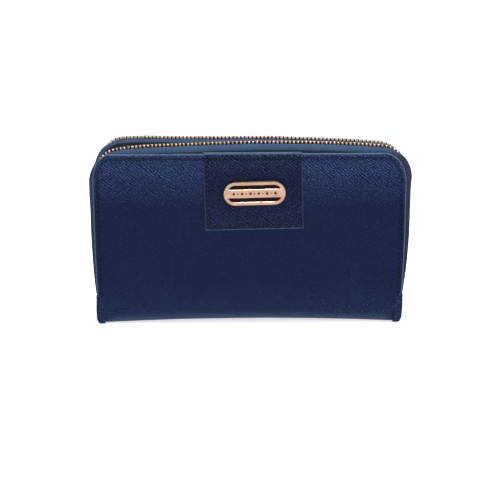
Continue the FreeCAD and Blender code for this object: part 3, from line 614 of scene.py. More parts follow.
# ---------------------------------------------------------------- stitches
def cap_ring(n_around=8, n_along=7):
    """Unit stitch along +x from -0.5 to 0.5, radius 1."""
    t = np.linspace(-1, 1, n_along)
    r = np.sqrt(np.clip(1 - np.abs(t) ** 3.0, 0.02, 1))
    a = np.linspace(0, 2 * math.pi, n_around, endpoint=False)
    return np.stack(
        [np.repeat(t[:, None] * 0.5, n_around, 1), r[:, None] * np.cos(a), r[:, None] * np.sin(a)], -1
    )


def stitches(name, points, normals, mat, length=2.1, radius=0.24, sink=0.05, body=None, lift=0.0):
    """One mesh of stitches, each lying from one point towards the next, on a surface with these outward normals."""
    unit = cap_ring()
    vs, fs, base = [], [], 0
    points, normals = np.asarray(points, float), np.asarray(normals, float)
    for (p, q), n in zip(points, normals):
        t = q - p
        L = np.linalg.norm(t)
        if L < 1e-6:
            continue
        t = t / L
        n = n - (n @ t) * t
        n = n / np.linalg.norm(n)
        b = np.cross(n, t)
        mid = (p + q) / 2 + n * (lift - sink)
        v = unit[..., 0:1] * t * length + unit[..., 1:2] * b * radius + unit[..., 2:3] * n * radius * 0.85
        v, f = tube_loop(v + mid)
        vs.append(v)
        fs += [[i + base for i in q4] for q4 in f]
        base += len(v)
    ob = mesh(name, np.concatenate(vs), fs, mat)
    if body:
        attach(ob, body)
    return ob


def along(path, pitch, length):
    """Pairs of points, one per stitch, evenly spaced along a polyline."""
    path = np.asarray(path, float)
    seg = np.linalg.norm(np.diff(path, axis=0), axis=1)
    s = np.concatenate([[0], np.cumsum(seg)])
    n = int(s[-1] / pitch)
    if n < 1:
        return np.zeros((0, 2, 3))
    at = (np.arange(n) + 0.5) * s[-1] / n
    f = lambda q: np.stack([np.interp(q, s, path[:, i]) for i in range(3)], -1)
    return np.stack([f(at - length / 2), f(at + length / 2)], 1)


def skin_stitches(which):
    sgn = -1 if which == "front" else 1
    inset = 3.15
    top = TOP - inset
    zs = np.concatenate([np.linspace(20.5, 87, 90), TOP - 18 + (18 - inset) * np.sin(np.radians(np.linspace(0, 90, 50)))])
    zs = np.minimum(zs, top)
    left = np.stack([-panel_half(zs, "L", inset), zs], -1)
    right = np.stack([panel_half(zs, "R", inset), zs], -1)[::-1]
    loop = np.concatenate([left, right])
    y = sgn * skin_y(loop[:, 0], loop[:, 1], which)
    path = np.stack([loop[:, 0], y, loop[:, 1]], -1)
    pairs = along(path, 3.0, 2.1)
    if which == "front":
        mid = pairs.mean(1)
        under_tab = (mid[:, 2] > 90) & (mid[:, 0] > -29.5) & (mid[:, 0] < 34.0)
        pairs = pairs[~under_tab]
    nrm = np.tile([0.0, sgn, 0.0], (len(pairs), 1))
    st = stitches(which + "_cover_stitches", pairs, nrm, M_THREAD_D, body=FRONT_B if which == "front" else BACK_B, lift=0.06)
    # points for close dark stitches over the thick tucked ends of the zip, low on both sides; no stitches are made from
    # them
    out = []
    for s in (-1, 1):
        side = "R" if s > 0 else "L"
        z = np.arange(15.2, 20.5, 1.15)
        for zz in z:
            x = s * panel_half(zz, side)
            out.append([[x - s * 3.9, 0, zz], [x - s * 0.9, 0, zz + 0.25]])
    out = np.array(out)
    for k in range(2):
        out[:, k, 1] = sgn * skin_y(out[:, k, 0], out[:, k, 2], which)
    return st


front_stitch = skin_stitches("front")
back_stitch = skin_stitches("back")


# ---------------------------------------------------------------- general flat panel with rounded edges
def slab(name, z0, z1, half, y_out, y_in, mat, nodes=(), body=ROOT, nx=60, nz=30, r=0.2, wave=0.0, seed=1, slotname=None, sag=0.0, corner_r=None, uvk=1.0, x_mid=0.0):
    """A thin panel standing between y_out and y_in. half is the half width, a number or a function of z."""
    hw = half if callable(half) else (lambda z: np.full(np.shape(z), float(half)))
    e = np.array([0, 0.15, 0.4, 0.9, 1.8])
    zs = np.concatenate([z0 + e, np.linspace(z0 + 3, z1 - 3, nz), (z1 - e)[::-1]])
    zs = np.unique(np.round(zs, 5))
    if callable(half):
        a = np.radians(np.linspace(0, 90, 22))
        zs = np.unique(np.round(np.concatenate([zs, z1 - 18 + 18 * np.sin(a)]), 5)) if z1 > 95 else zs
    ex = np.concatenate([e, np.linspace(3, 60, nx // 2)])
    half_u = np.concatenate([e / 95, np.linspace(0.03, 1.0, nx // 2)])
    u = np.concatenate([-(1 - half_u), (1 - half_u)[::-1][1:]])
    Zg, Ug = zs[:, None], u[None, :]
    X = hw(Zg) * Ug
    Z = Zg + 0 * X
    if corner_r:
        dz = np.clip((Z - (z1 - corner_r)) / corner_r, 0, 1)
        X = Ug * (hw(Zg) - corner_r * (1 - np.sqrt(1 - dz * dz)))
    d = np.minimum(np.minimum(hw(Zg) * (1 - np.abs(Ug)), Z - z0), z1 - Z)
    drop = edge_drop(np.maximum(d, 0), r)
    drop = np.minimum(drop, abs(y_in - y_out) / 2 * 0.98)
    sgn = np.sign(y_out - y_in)
    wv = waves(seed, 7, 20, 60)(X, Z) * wave * smooth(0, 6, d)
    Zt = Z - sag * smooth(z1 - 14, z1, Z) * np.cos(np.clip(X / np.maximum(hw(Zg), 1), -1, 1) * math.pi * 2) ** 2
    out = np.stack([X + x_mid, y_out - sgn * drop + sgn * wv, Zt], -1)
    inn = np.stack([X + x_mid, y_in + sgn * drop + sgn * wv, Zt], -1)
    v, f = shell(out, inn, flip=sgn > 0)
    uv = np.stack([X, Z], -1).reshape(-1, 2) * uvk
    uv = np.concatenate([uv, uv])
    ob = mesh(name, v, f, mat, uv, sharp=60)
    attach(ob, body)
    if nodes:
        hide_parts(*nodes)
    return ob


FOOT_Z = 9.3
Y_LIN_OUT, Y_LIN_IN = 17.15, 16.75
ROW_T, ROW_GAP = 0.5, 0.06


def lines(name, segs, y, sgn, body, mat=M_THREAD, pitch=3.0, length=2.0, radius=0.17, slotname=None):
    """Straight rows of stitches on a flat panel at y, facing sgn."""
    pairs = np.concatenate([along([[a[0], y, a[1]], [b[0], y, b[1]]], pitch, length) for a, b in segs])
    ob = stitches(name, pairs, np.tile([0.0, sgn, 0.0], (len(pairs), 1)), mat, length=length, radius=radius, sink=0.04, body=body)
    return ob


def zip_half(off):
    return lambda z: zipper.half_width(z, off)


for which, sg, body in (("front", -1, FRONT_B), ("back", 1, BACK_B)):
    slab(which + "_lining", FOOT_Z + 0.7, zipper.top - 4.9, zip_half(-4.9), sg * Y_LIN_OUT, sg * Y_LIN_IN, M_LINING, [which + "_cover_lining"], body, wave=0.05, seed=31, slotname="lining_fabric")
    tops = [87.0, 78.0, 69.0, 60.0] if which == "front" else [88.0, 74.0, 65.0, 56.0]
    for i, top in enumerate(tops):
        yo = Y_LIN_IN - ROW_GAP - i * (ROW_T + ROW_GAP)
        node = "%s_card_slot_row_%d" % (which, i + 1 if which == "front" else i)
        mat, sl = M_SLOT, "card_slot_leather"
        if which == "back" and i == 0:
            node, mat, sl = "back_bill_pocket", M_LINING, "lining_fabric"
        slab(node + "_panel", FOOT_Z + 1.2, top, zip_half(-5.6), sg * yo, sg * (yo - ROW_T), mat, [node], body, nx=44, nz=22, r=0.24, wave=0.02, seed=40 + i, slotname=sl, sag=0.5)
        inner = -sg
        y_face = sg * (yo - ROW_T - 0.02)
        hw = float(zipper.half_width(top - 1.6, -5.6)) - 3
        segs = [((-hw, top - 1.8), (hw, top - 1.8))]
        # the seam between the two columns of cards shows below the row in front of it
        below = tops[i + 1] if i + 1 < len(tops) else FOOT_Z + 2
        if not (which == "back" and i == 0):
            segs.append(((0, below + 0.5), (0, top - 3.5)))
        lines(node + "_stitches", segs, y_face, inner, body, slotname=sl)

# divider
slab("divider_front_panel", 2.6, zipper.top - 4.9, zip_half(-4.9), -1.75, -1.3, M_LINING, ["divider_front_face"], ROOT, wave=0.03, seed=51, slotname="lining_fabric")
slab("divider_back_panel", 2.6, zipper.top - 4.9, zip_half(-4.9), 1.75, 1.3, M_LINING, ["divider_back_face"], ROOT, wave=0.03, seed=52, slotname="lining_fabric")
slab("divider_core", 2.6, zipper.top - 4.7, zip_half(-4.7), 0.7, -0.7, M_BOARD, ["divider_board"], ROOT, slotname="board")
slab("slip_pocket_panel", 4.1, 76.0, zip_half(-5.6), 2.31, 1.81, M_LINING, ["divider_slip_pocket"], ROOT, nx=44, r=0.24, wave=0.03, seed=53, slotname="lining_fabric", sag=0.9)
lines("slip_pocket_stitches", [((-82, 74.2), (82, 74.2))], 2.33, 1, ROOT, slotname="lining_fabric")

# coin pocket
CZ, CH, CK, CY = 84.0, 66.0, 0.8, -4.9
WH = CH + 7.0
slab("coin_pocket_wall", 22.0, CZ - 5.6, WH, CY - 0.25, CY + 0.25, M_LINING, ["coin_pocket_front_wall"], ROOT, nx=40, r=0.24, wave=0.05, seed=54, slotname="lining_fabric")
slab("coin_pocket_welt_leather", CZ + 5.6, CZ + 9.0, WH, CY - 0.25, CY + 0.25, M_SLOT, ["coin_pocket_welt"], ROOT, nx=40, nz=4, r=0.2, slotname="lining_fabric")
slab("coin_tape_lower", CZ - 5.5, CZ - 1.8 * CK, WH - 1, CY - 0.2, CY + 0.2, M_COIN_TAPE, ["coin_zip_tape_lower"], ROOT, nx=40, nz=4, r=0.15, slotname="zip_tape")
slab("coin_tape_upper", CZ + 1.8 * CK, CZ + 5.5, WH - 1, CY - 0.2, CY + 0.2, M_COIN_TAPE, ["coin_zip_tape_upper"], ROOT, nx=40, nz=4, r=0.15, slotname="zip_tape")
lines("coin_pocket_stitches", [((-WH + 1.5, 23.5), (WH - 1.5, 23.5)), ((-WH + 1.5, 24.5), (-WH + 1.5, 77.0)), ((WH - 1.5, 24.5), (WH - 1.5, 77.0)), ((-WH + 2, 77.4), (WH - 2, 77.4)), ((-WH + 2, 90.6), (WH - 2, 90.6))], CY - 0.27, -1, ROOT, slotname="lining_fabric")


def pocket_side():
    """The coin pocket's pleated side strip, running round behind its wall."""
    loop = [(-WH + 0.3, 22.3), (WH - 0.3, 22.3), (WH - 0.3, CZ + 8.7), (-WH + 0.3, CZ + 8.7)]
    pts, nrm = [], []
    r = 3.0
    cs = [(-WH + 0.3 + r, 22.3 + r, 180), (WH - 0.3 - r, 22.3 + r, 270), (WH - 0.3 - r, CZ + 8.7 - r, 0), (-WH + 0.3 + r, CZ + 8.7 - r, 90)]
    for cx, cz, a0 in cs:
        for a in np.radians(np.linspace(a0, a0 + 90, 8)):
            pts.append((cx + r * math.cos(a), cz + r * math.sin(a)))
            nrm.append((math.cos(a), math.sin(a)))
    dense_p, dense_n = [], []
    for i in range(len(pts)):
        p, q = np.array(pts[i]), np.array(pts[(i + 1) % len(pts)])
        a, b = np.array(nrm[i]), np.array(nrm[(i + 1) % len(pts)])
        k = max(1, int(np.linalg.norm(q - p) / 5))
        for j in range(k):
            dense_p.append(p + (q - p) * j / k)
            m = a + (b - a) * j / k
            dense_n.append(m / np.linalg.norm(m))
    P, Nn = np.array(dense_p), np.array(dense_n)
    prof = [(0.0, -4.6), (-0.05, -4.2), (-0.7, -3.4), (0.0, -2.6), (0.0, -1.85), (-0.5, -1.85), (-0.55, -2.6), (-1.2, -3.4), (-0.55, -4.2), (-0.5, -4.6)]
    rings = np.array([[(p[0] + n * m[0], y, p[1] + n * m[1]) for n, y in prof] for p, m in zip(P, Nn)])
    k = rings.shape[1]
    f = quads(len(rings), k, 0, close_c=True)
    last = [[(len(rings) - 1) * k + c, (len(rings) - 1) * k + (c + 1) % k, (c + 1) % k, c] for c in range(k)]
    s = np.concatenate([[0], np.cumsum(np.linalg.norm(np.diff(P, axis=0), axis=1))])
    uv = np.array([[(a, b * 1.3) for b in range(k)] for a in s]).reshape(-1, 2)
    ob = mesh("coin_pocket_side_strip", rings.reshape(-1, 3), list(f) + last, M_LINING, uv, sharp=50)
    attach(ob, ROOT)
    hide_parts("coin_pocket_side_wall")


pocket_side()


# spine lining follows the arched underside
def spine_lining():
    xs = np.linspace(-92.8, 92.8, 60)
    ys = np.concatenate([[-15.2, -15.0, -14.6], np.linspace(-13, 13, 14), [14.6, 15.0, 15.2]])
    X, Y = np.meshgrid(xs, ys, indexing="ij")
    d = np.minimum(15.2 - np.abs(Y), 92.8 - np.abs(X))
    base = 1.7 * (1 - np.clip(np.abs(X) / 90, 0, 1) ** 2)
    up = 0.9 * smooth(11.5, 15.2, np.abs(Y)) ** 2
    zt = 2.5 + base * 0.75 + up - edge_drop(np.maximum(d, 0), 0.18)
    zb = 1.12 + base * 0.98 + up + edge_drop(np.maximum(d, 0), 0.18) * 0
    zb = np.minimum(zb, zt - 0.3)
    v, f = shell(np.stack([X, Y, zt], -1), np.stack([X, Y, zb], -1))
    uv = np.stack([X, Y], -1).reshape(-1, 2)
    ob = mesh("spine_lining_cloth", v, f, M_LINING, np.concatenate([uv, uv]), sharp=60)
    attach(ob, ROOT)
    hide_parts("spine_lining", "spine_stiffener")


spine_lining()


def end_tabs():
    for s, name in ((1, "right"), (-1, "left")):
        ys = np.concatenate([[-15.2, -15.05, -14.7, -14.2], np.linspace(-13, 13, 16), [14.2, 14.7, 15.05, 15.2]])
        t = np.concatenate([[0, 0.02, 0.06], np.linspace(0.15, 0.85, 8), [0.94, 0.98, 1.0]])
        Y, T = np.meshgrid(ys, t, indexing="ij")
        top = 11.3 - 3.0 * (1 - np.sqrt(np.clip(1 - np.clip((np.abs(Y) - 12.2) / 3.0, 0, 1) ** 2, 0, 1)))
        bottom = 2.6 + 0.9 * smooth(11.5, 15.2, np.abs(Y)) ** 2
        Z = bottom + (top - bottom) * T
        d = np.minimum(np.minimum(15.2 - np.abs(Y), top - Z), Z - bottom)
        e = edge_drop(np.maximum(d, 0), 0.4)
        belly = 0.25 * smooth(0, 3.5, d)
        out = np.stack([s * (92.0 - e + belly), Y, Z], -1)
        inn = np.stack([s * (91.0 + np.minimum(e, 0.45)), Y, Z], -1)
        v, f = shell(out, inn, flip=s > 0)
        uv = np.stack([Y, Z], -1).reshape(-1, 2)
        ob = mesh("spine_end_tab_%s_leather" % name, v, f, M_TAB, np.concatenate([uv, uv]), sharp=60)
        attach(ob, ROOT)
        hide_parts("spine_end_tab_" + name)
        path = [[s * 92.22, -12.6, 4.0], [s * 92.22, -12.6, 8.6], [s * 92.22, -10.5, 9.9], [s * 92.22, 10.5, 9.9], [s * 92.22, 12.6, 8.6], [s * 92.22, 12.6, 4.0]]
        pr = along(path, 2.8, 1.9)
        st = stitches("spine_end_tab_%s_stitches" % name, pr, np.tile([float(s), 0, 0], (len(pr), 1)), M_THREAD, length=1.9, radius=0.2, body=ROOT)


end_tabs()


# ---------------------------------------------------------------- zips round the compartments
COVER_LINE = [(-10, -7.95), (-8, -7.95), (-6.2, -7.95), (-5.0, -7.93), (-4.2, -7.85), (-3.2, -7.68), (-2.2, -7.40), (-1.3, -7.0), (-0.6, -6.45), (-0.15, -5.8), (0.03, -5.1), (0.05, -4.3), (0.02, -3.4), (0.0, -2.6), (0.0, -1.9)]
DIV_LINE = [(-10, 8.5), (-8, 8.5), (-6.2, 8.5), (-5.0, 8.48), (-4.2, 8.40), (-3.2, 8.2), (-2.2, 7.9), (-1.3, 7.45), (-0.6, 6.85), (-0.15, 6.1), (0.03, 5.3), (0.05, 4.4), (0.02, 3.4), (0.0, 2.6), (0.0, 1.9)]


# how far the soft tape swells out beside the covers, by height
BELLY_RIGHT = ([0, 12, 20, 30, 42, 60, 75, 88, 97, 110], [2.0, 3.0, 4.0, 4.2, 3.9, 3.0, 1.5, 0.6, 0.9, 1.7])
BELLY_LEFT = ([0, 12, 20, 30, 42, 60, 75, 88, 97, 110], [3.0, 4.4, 5.0, 4.9, 4.1, 2.6, 1.0, 0.5, 0.9, 1.7])


def tape_rings(line, s, bulge_side, t=0.5):
    """Closed loops (outer line, then the same moved in by the tape's thickness) at each distance s."""
    line = np.array(line, float)
    x, z, nx, nz = zipper.at(s)
    k = len(line)
    lat = line[:, 1]
    on_side = (1 - smooth(105, 110.6, z))[:, None]
    bump = np.exp(-(((np.abs(lat) - 6.35) / 0.85) ** 2))[None, :]
    belly = np.where(x < 0, spline(BELLY_LEFT, z), spline(BELLY_RIGHT, z))[:, None]
    n = line[:, 0][None, :] + bump * (0.15 + bulge_side * belly * on_side)
    bead = np.exp(-(((np.abs(lat) - 2.2) / 0.45) ** 2))[None, :]
    d = np.gradient(line, axis=0)
    d = d / np.linalg.norm(d, axis=1)[:, None]
    sgn = np.sign(lat[-1])
    # inward side of the strip
    inn_n = -d[:, 1] * sgn * -1
    inn_y = d[:, 0] * sgn * -1
    flip = -1.0
    n_out, y_out = n + bead * 0.12, lat[None, :] + 0 * n
    n_in = n + flip * (-sgn * d[:, 1])[None, :] * t * -1 * -1
    y_in = y_out + flip * (sgn * d[:, 0])[None, :] * t * -1 * -1
    # keep the inner line towards the compartment: below the outer one where the tape lies flat
    loops_n = np.concatenate([n_out, n_in[:, ::-1]], 1)
    loops_y = np.concatenate([y_out, y_in[:, ::-1]], 1)
    X = x[:, None] + loops_n * nx[:, None]
    Z = z[:, None] + loops_n * nz[:, None]
    return np.stack([X, loops_y - ZIP_Y, Z], -1)


def tape(name, line, s0, s1, back, body, nodes, joint=None, cover=True):
    n = max(24, int((s1 - s0) / 1.6))
    s = np.linspace(s0, s1, n)
    rings = tape_rings(line, s, 1.0 if cover else 0.85)
    wob = waves(71 + back * 3 + cover, 8, 12, 50)
    k = len(line)
    lat = np.array([p[1] for p in line])
    amp = np.exp(-(((np.abs(lat) - 5.5) / 2.2) ** 2)) * 0.16
    dn = wob(s[:, None], np.concatenate([lat, lat[::-1]])[None, :] * 3) * np.concatenate([amp, amp[::-1]])[None, :]
    _, _, nx, nz = zipper.at(s)
    rings[..., 0] += dn * nx[:, None]
    rings[..., 2] += dn * nz[:, None]
    arc = np.concatenate([[0], np.cumsum(np.hypot(*np.diff(np.array(line, float), axis=0).T))])
    arc = arc[-1] - arc
    vv = np.concatenate([arc, arc[::-1]])
    uv = np.stack(np.broadcast_arrays(s[:, None], vv[None, :]), -1).reshape(-1, 2)
    v, f = tube_loop(rings)
    v = v.copy()
    if back:
        v[:, 1] *= -1
        f = [q[::-1] for q in f]
    v = warp(v, back)
    # painted shade on the tapes down the wallet's sides, below the top of the arch and deepest low down
    ob = mesh(name, v, f, M_TAPE if cover else M_TAPE_D, uv, sharp=55, painted_light=np.where(v[:, 0] > 0, 1 - smooth(102, 110.5, v[:, 2]), 0.74 * (1 - smooth(94, 108, v[:, 2]))) * (0.84 + 0.16 * (1 - smooth(40, 80, v[:, 2]))))
    bm_fix(ob)
    if joint:
        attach(ob, body)
        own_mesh(ob)
    else:
        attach(ob, body)
    if nodes:
        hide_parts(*nodes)
    return ob


def bm_fix(ob):
    """Points every face outward."""
    import bmesh

    bm = bmesh.new()
    bm.from_mesh(ob.data)
    bmesh.ops.recalc_face_normals(bm, faces=bm.faces)
    bm.to_mesh(ob.data)
    bm.free()


for which, back, body in (("front", False, FRONT_B), ("back", True, BACK_B)):
    for cover in (True, False):
        side = "cover" if cover else "divider"
        line = COVER_LINE if cover else DIV_LINE
        b = body if cover else ROOT
        joint = which + "_zip_slide"
        tape("%s_tape_%s_run" % (which, side), line, -3.0, RUN_END, back, b, ["%s_zip_tape_%s_side" % (which, side)], joint, cover)
        tape("%s_tape_%s_arch" % (which, side), line, RUN_END, zipper.length + 3.0, back, b, [], None, cover)


# teeth
def rounded(cells, size, power=5.0):
    """A cushion-shaped block, size = half lengths, from a cube of cells per edge."""
    key, vs, fs = {}, [], []

    def vid(p):
        k = tuple(round(c, 6) for c in p)
        if k not in key:
            key[k] = len(vs)
            vs.append(p)
        return key[k]

    g = np.linspace(-1, 1, cells + 1)
    for ax in range(3):
        for sg in (-1, 1):
            for i in range(cells):
                for j in range(cells):
                    q = []
                    for a, b in ((i, j), (i + 1, j), (i + 1, j + 1), (i, j + 1)):
                        p = [0, 0, 0]
                        p[ax] = sg
                        p[(ax + 1) % 3] = g[a]
                        p[(ax + 2) % 3] = g[b]
                        q.append(vid(tuple(p)))
                    fs.append(q if sg > 0 else q[::-1])
    v = np.array(vs, float)
    r = (np.abs(v) ** power).sum(1) ** (1 / power)
    v = v / r[:, None]
    return v * np.array(size), fs


TOOTH_V, TOOTH_F = rounded(4, (0.60, 1.95, 1.22), 3.4)
# a waist towards the tape
TOOTH_V = TOOTH_V.copy()
TOOTH_V[:, 0] *= 1 - 0.16 * smooth(0.2, 1.9, TOOTH_V[:, 1])


def teeth(name, s_list, side, back, body, nodes=(), squash=None, scale=1.0):
    x, z, nx, nz = zipper.at(np.array(s_list))
    big = smooth(107.0, 110.6, z)
    vs, fs, base, uvs = [], [], 0, []
    for i in range(len(s_list)):
        lat = TOOTH_V[:, 1] * side + side * 1.25
        al = TOOTH_V[:, 0]
        no = TOOTH_V[:, 2] * (1 + 0.15 * big[i]) + 0.05 + 0.55 * big[i]
        uvs.append(np.stack([TOOTH_V[:, 1] + 1.25, TOOTH_V[:, 2]], -1))
        tx, tz = -nz[i], nx[i]
        v = np.stack([x[i] + al * tx + no * nx[i], lat - ZIP_Y, z[i] + al * tz + no * nz[i]], -1)
        vs.append(v)
        fs += [[q + base for q in f] for f in TOOTH_F]
        base += len(v)
    v = np.concatenate(vs)
    if back:
        v[:, 1] *= -1
    v = warp(v, back)
    ob = mesh(name, v, fs, M_TEETH, np.concatenate(uvs))
    bm_fix(ob)
    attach(ob, body)
    if squash:
        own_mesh(ob)
    if nodes:
        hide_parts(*nodes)
    return ob


FIRST, PITCH = 9.0, 2.5
N_TEETH = int((zipper.length - 4.0 - FIRST) / PITCH)
for which, back, body in (("front", False, FRONT_B), ("back", True, BACK_B)):
    for side, nm in ((-1, "cover"), (1, "divider")):
        s_all = np.array([FIRST + (i + (0.5 if side > 0 else 0)) * PITCH for i in range(N_TEETH)])
        b = body if side < 0 else ROOT
        if side < 0:
            s_all = s_all[2:]          # those at the slider stay inside it
        low = s_all[s_all < RUN_END - 4.5]
        high = s_all[s_all >= RUN_END - 4.5]
        node = "%s_zip_teeth_%s_side" % (which, nm)
        cuts = np.array_split(low, 5)
        for i, part in enumerate(cuts):
            mid = part.mean()
            shift = 2.1 * float(smooth(RUN_END + 2, 30, mid)) + 0.2
            teeth("%s_teeth_%s_run_%d" % (which, nm, i + 1), part, side, back, b, [node] if i == 0 else (), (which + "_zip_slide", shift))
        teeth("%s_teeth_%s_arch" % (which, nm), high, side, back, b)


# divider edge binding
def binding():
    s = np.linspace(-3, zipper.length + 3, 240)
    prof = []
    for a in np.radians(np.linspace(-90, 90, 9)):
        prof.append((-2.8 + 0.7 * math.cos(a), 0.85 * math.sin(a)))
    prof += [(-3.6, 0.85), (-4.65, 0.72), (-4.65, -0.72), (-3.6, -0.85)]
    prof = np.array(prof)
    x, z, nx, nz = zipper.at(s)
    X = x[:, None] + prof[None, :, 0] * nx[:, None]
    Z = z[:, None] + prof[None, :, 0] * nz[:, None]
    Y = np.broadcast_to(prof[None, :, 1], X.shape)
    lift = spline(([-101, -92, -84, -76, -66, 101], [0.6, 0.9, 1.1, 0.6, -0.2, -0.2]), X) * smooth(75, 105, Z)
    v, f = tube_loop(np.stack([X, Y, Z + lift], -1))
    uv = np.stack(np.broadcast_arrays(s[:, None], np.arange(len(prof))[None, :] * 0.8), -1).reshape(-1, 2)
    ob = mesh("divider_binding", v, f, M_EDGE, uv, sharp=60)
    bm_fix(ob)
    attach(ob, ROOT)
    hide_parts("divider_edge_binding")


binding()


# ---------------------------------------------------------------- gussets
def gusset(which, side):
    back = which == "back"
    fold = np.array([(0.0, -16.4), (0.0, -14.6), (-2.0, -13.4), (-9.0, -12.6), (-13.4, -12.1), (-14.0, -11.7), (-13.2, -11.3), (-8.0, -10.2), (-4.0, -9.5), (-3.0, -9.2), (-4.0, -8.8), (-8.0, -8.0), (-13.2, -7.2), (-14.0, -6.75), (-13.4, -6.3), (-9.0, -5.6), (-2.0, -4.9), (0.0, -3.9), (0.0, -2.15)])
    # resample the fold line evenly
    seg = np.hypot(*np.diff(fold, axis=0).T)
    a = np.concatenate([[0], np.cumsum(seg)])
    k = 64
    at = np.linspace(0, a[-1], k)
    line = np.stack([np.interp(at, a, fold[:, 0]), np.interp(at, a, fold[:, 1])], -1)
    for _ in range(6):
        line[1:-1] = (line[:-2] + 2 * line[1:-1] + line[2:]) / 4
    z0, z1, nz = 12.0, 74.0, 40
    zs = np.linspace(z0, z1, nz)
    g = waves(81 + back + (side > 0) * 2, 8, 9, 30)
    d = np.gradient(line, axis=0)
    d /= np.linalg.norm(d, axis=1)[:, None]
    nrm = np.stack([d[:, 1], -d[:, 0]], -1)
    out, inn = [], []
    seam = zipper.half_width(z0, -5.05)
    for z in zs:
        x_seam = seam + (z - z0) * math.tan(zipper.t)
        w = smooth(0, 6, np.minimum(at, a[-1] - at)) * smooth(z0, z0 + 8, z) * 0.35
        off = g(at, np.full(k, z)) * w
        # the top edge dips towards the inner folds
        dip = -4.5 * np.clip(-line[:, 0] / 14, 0, 1) * smooth(z1 - 25, z1, z)
        for t, dst in ((0.2, out), (-0.2, inn)):
            q = line + nrm * (t + off[:, None])
            dst.append(np.stack([side * (x_seam + q[:, 0]), q[:, 1], z + dip], -1))
    out, inn = np.array(out), np.array(inn)
    if back:
        out, inn = mirror_y(out), mirror_y(inn)
    v, f = shell(out, inn)
    uv = np.stack(np.broadcast_arrays(at[None, :], zs[:, None]), -1).reshape(-1, 2)
    ob = mesh("%s_gusset_%s_pleats" % (which, "right" if side > 0 else "left"), v, f, M_EDGE, np.concatenate([uv, uv]), sharp=70)
    bm_fix(ob)
    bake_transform(ob)
    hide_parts("%s_gusset_%s" % (which, "right" if side > 0 else "left"))
    return ob


for w in ("front", "back"):
    for s in (1, -1):
        gusset(w, s)


# ---------------------------------------------------------------- leather tab on the front cover
TAB_ROT = math.radians(1.0)
TAB_X0, TAB_Z0 = 2.35, 83.5
TAB_HALF = 30.3
TAB_T = 0.72


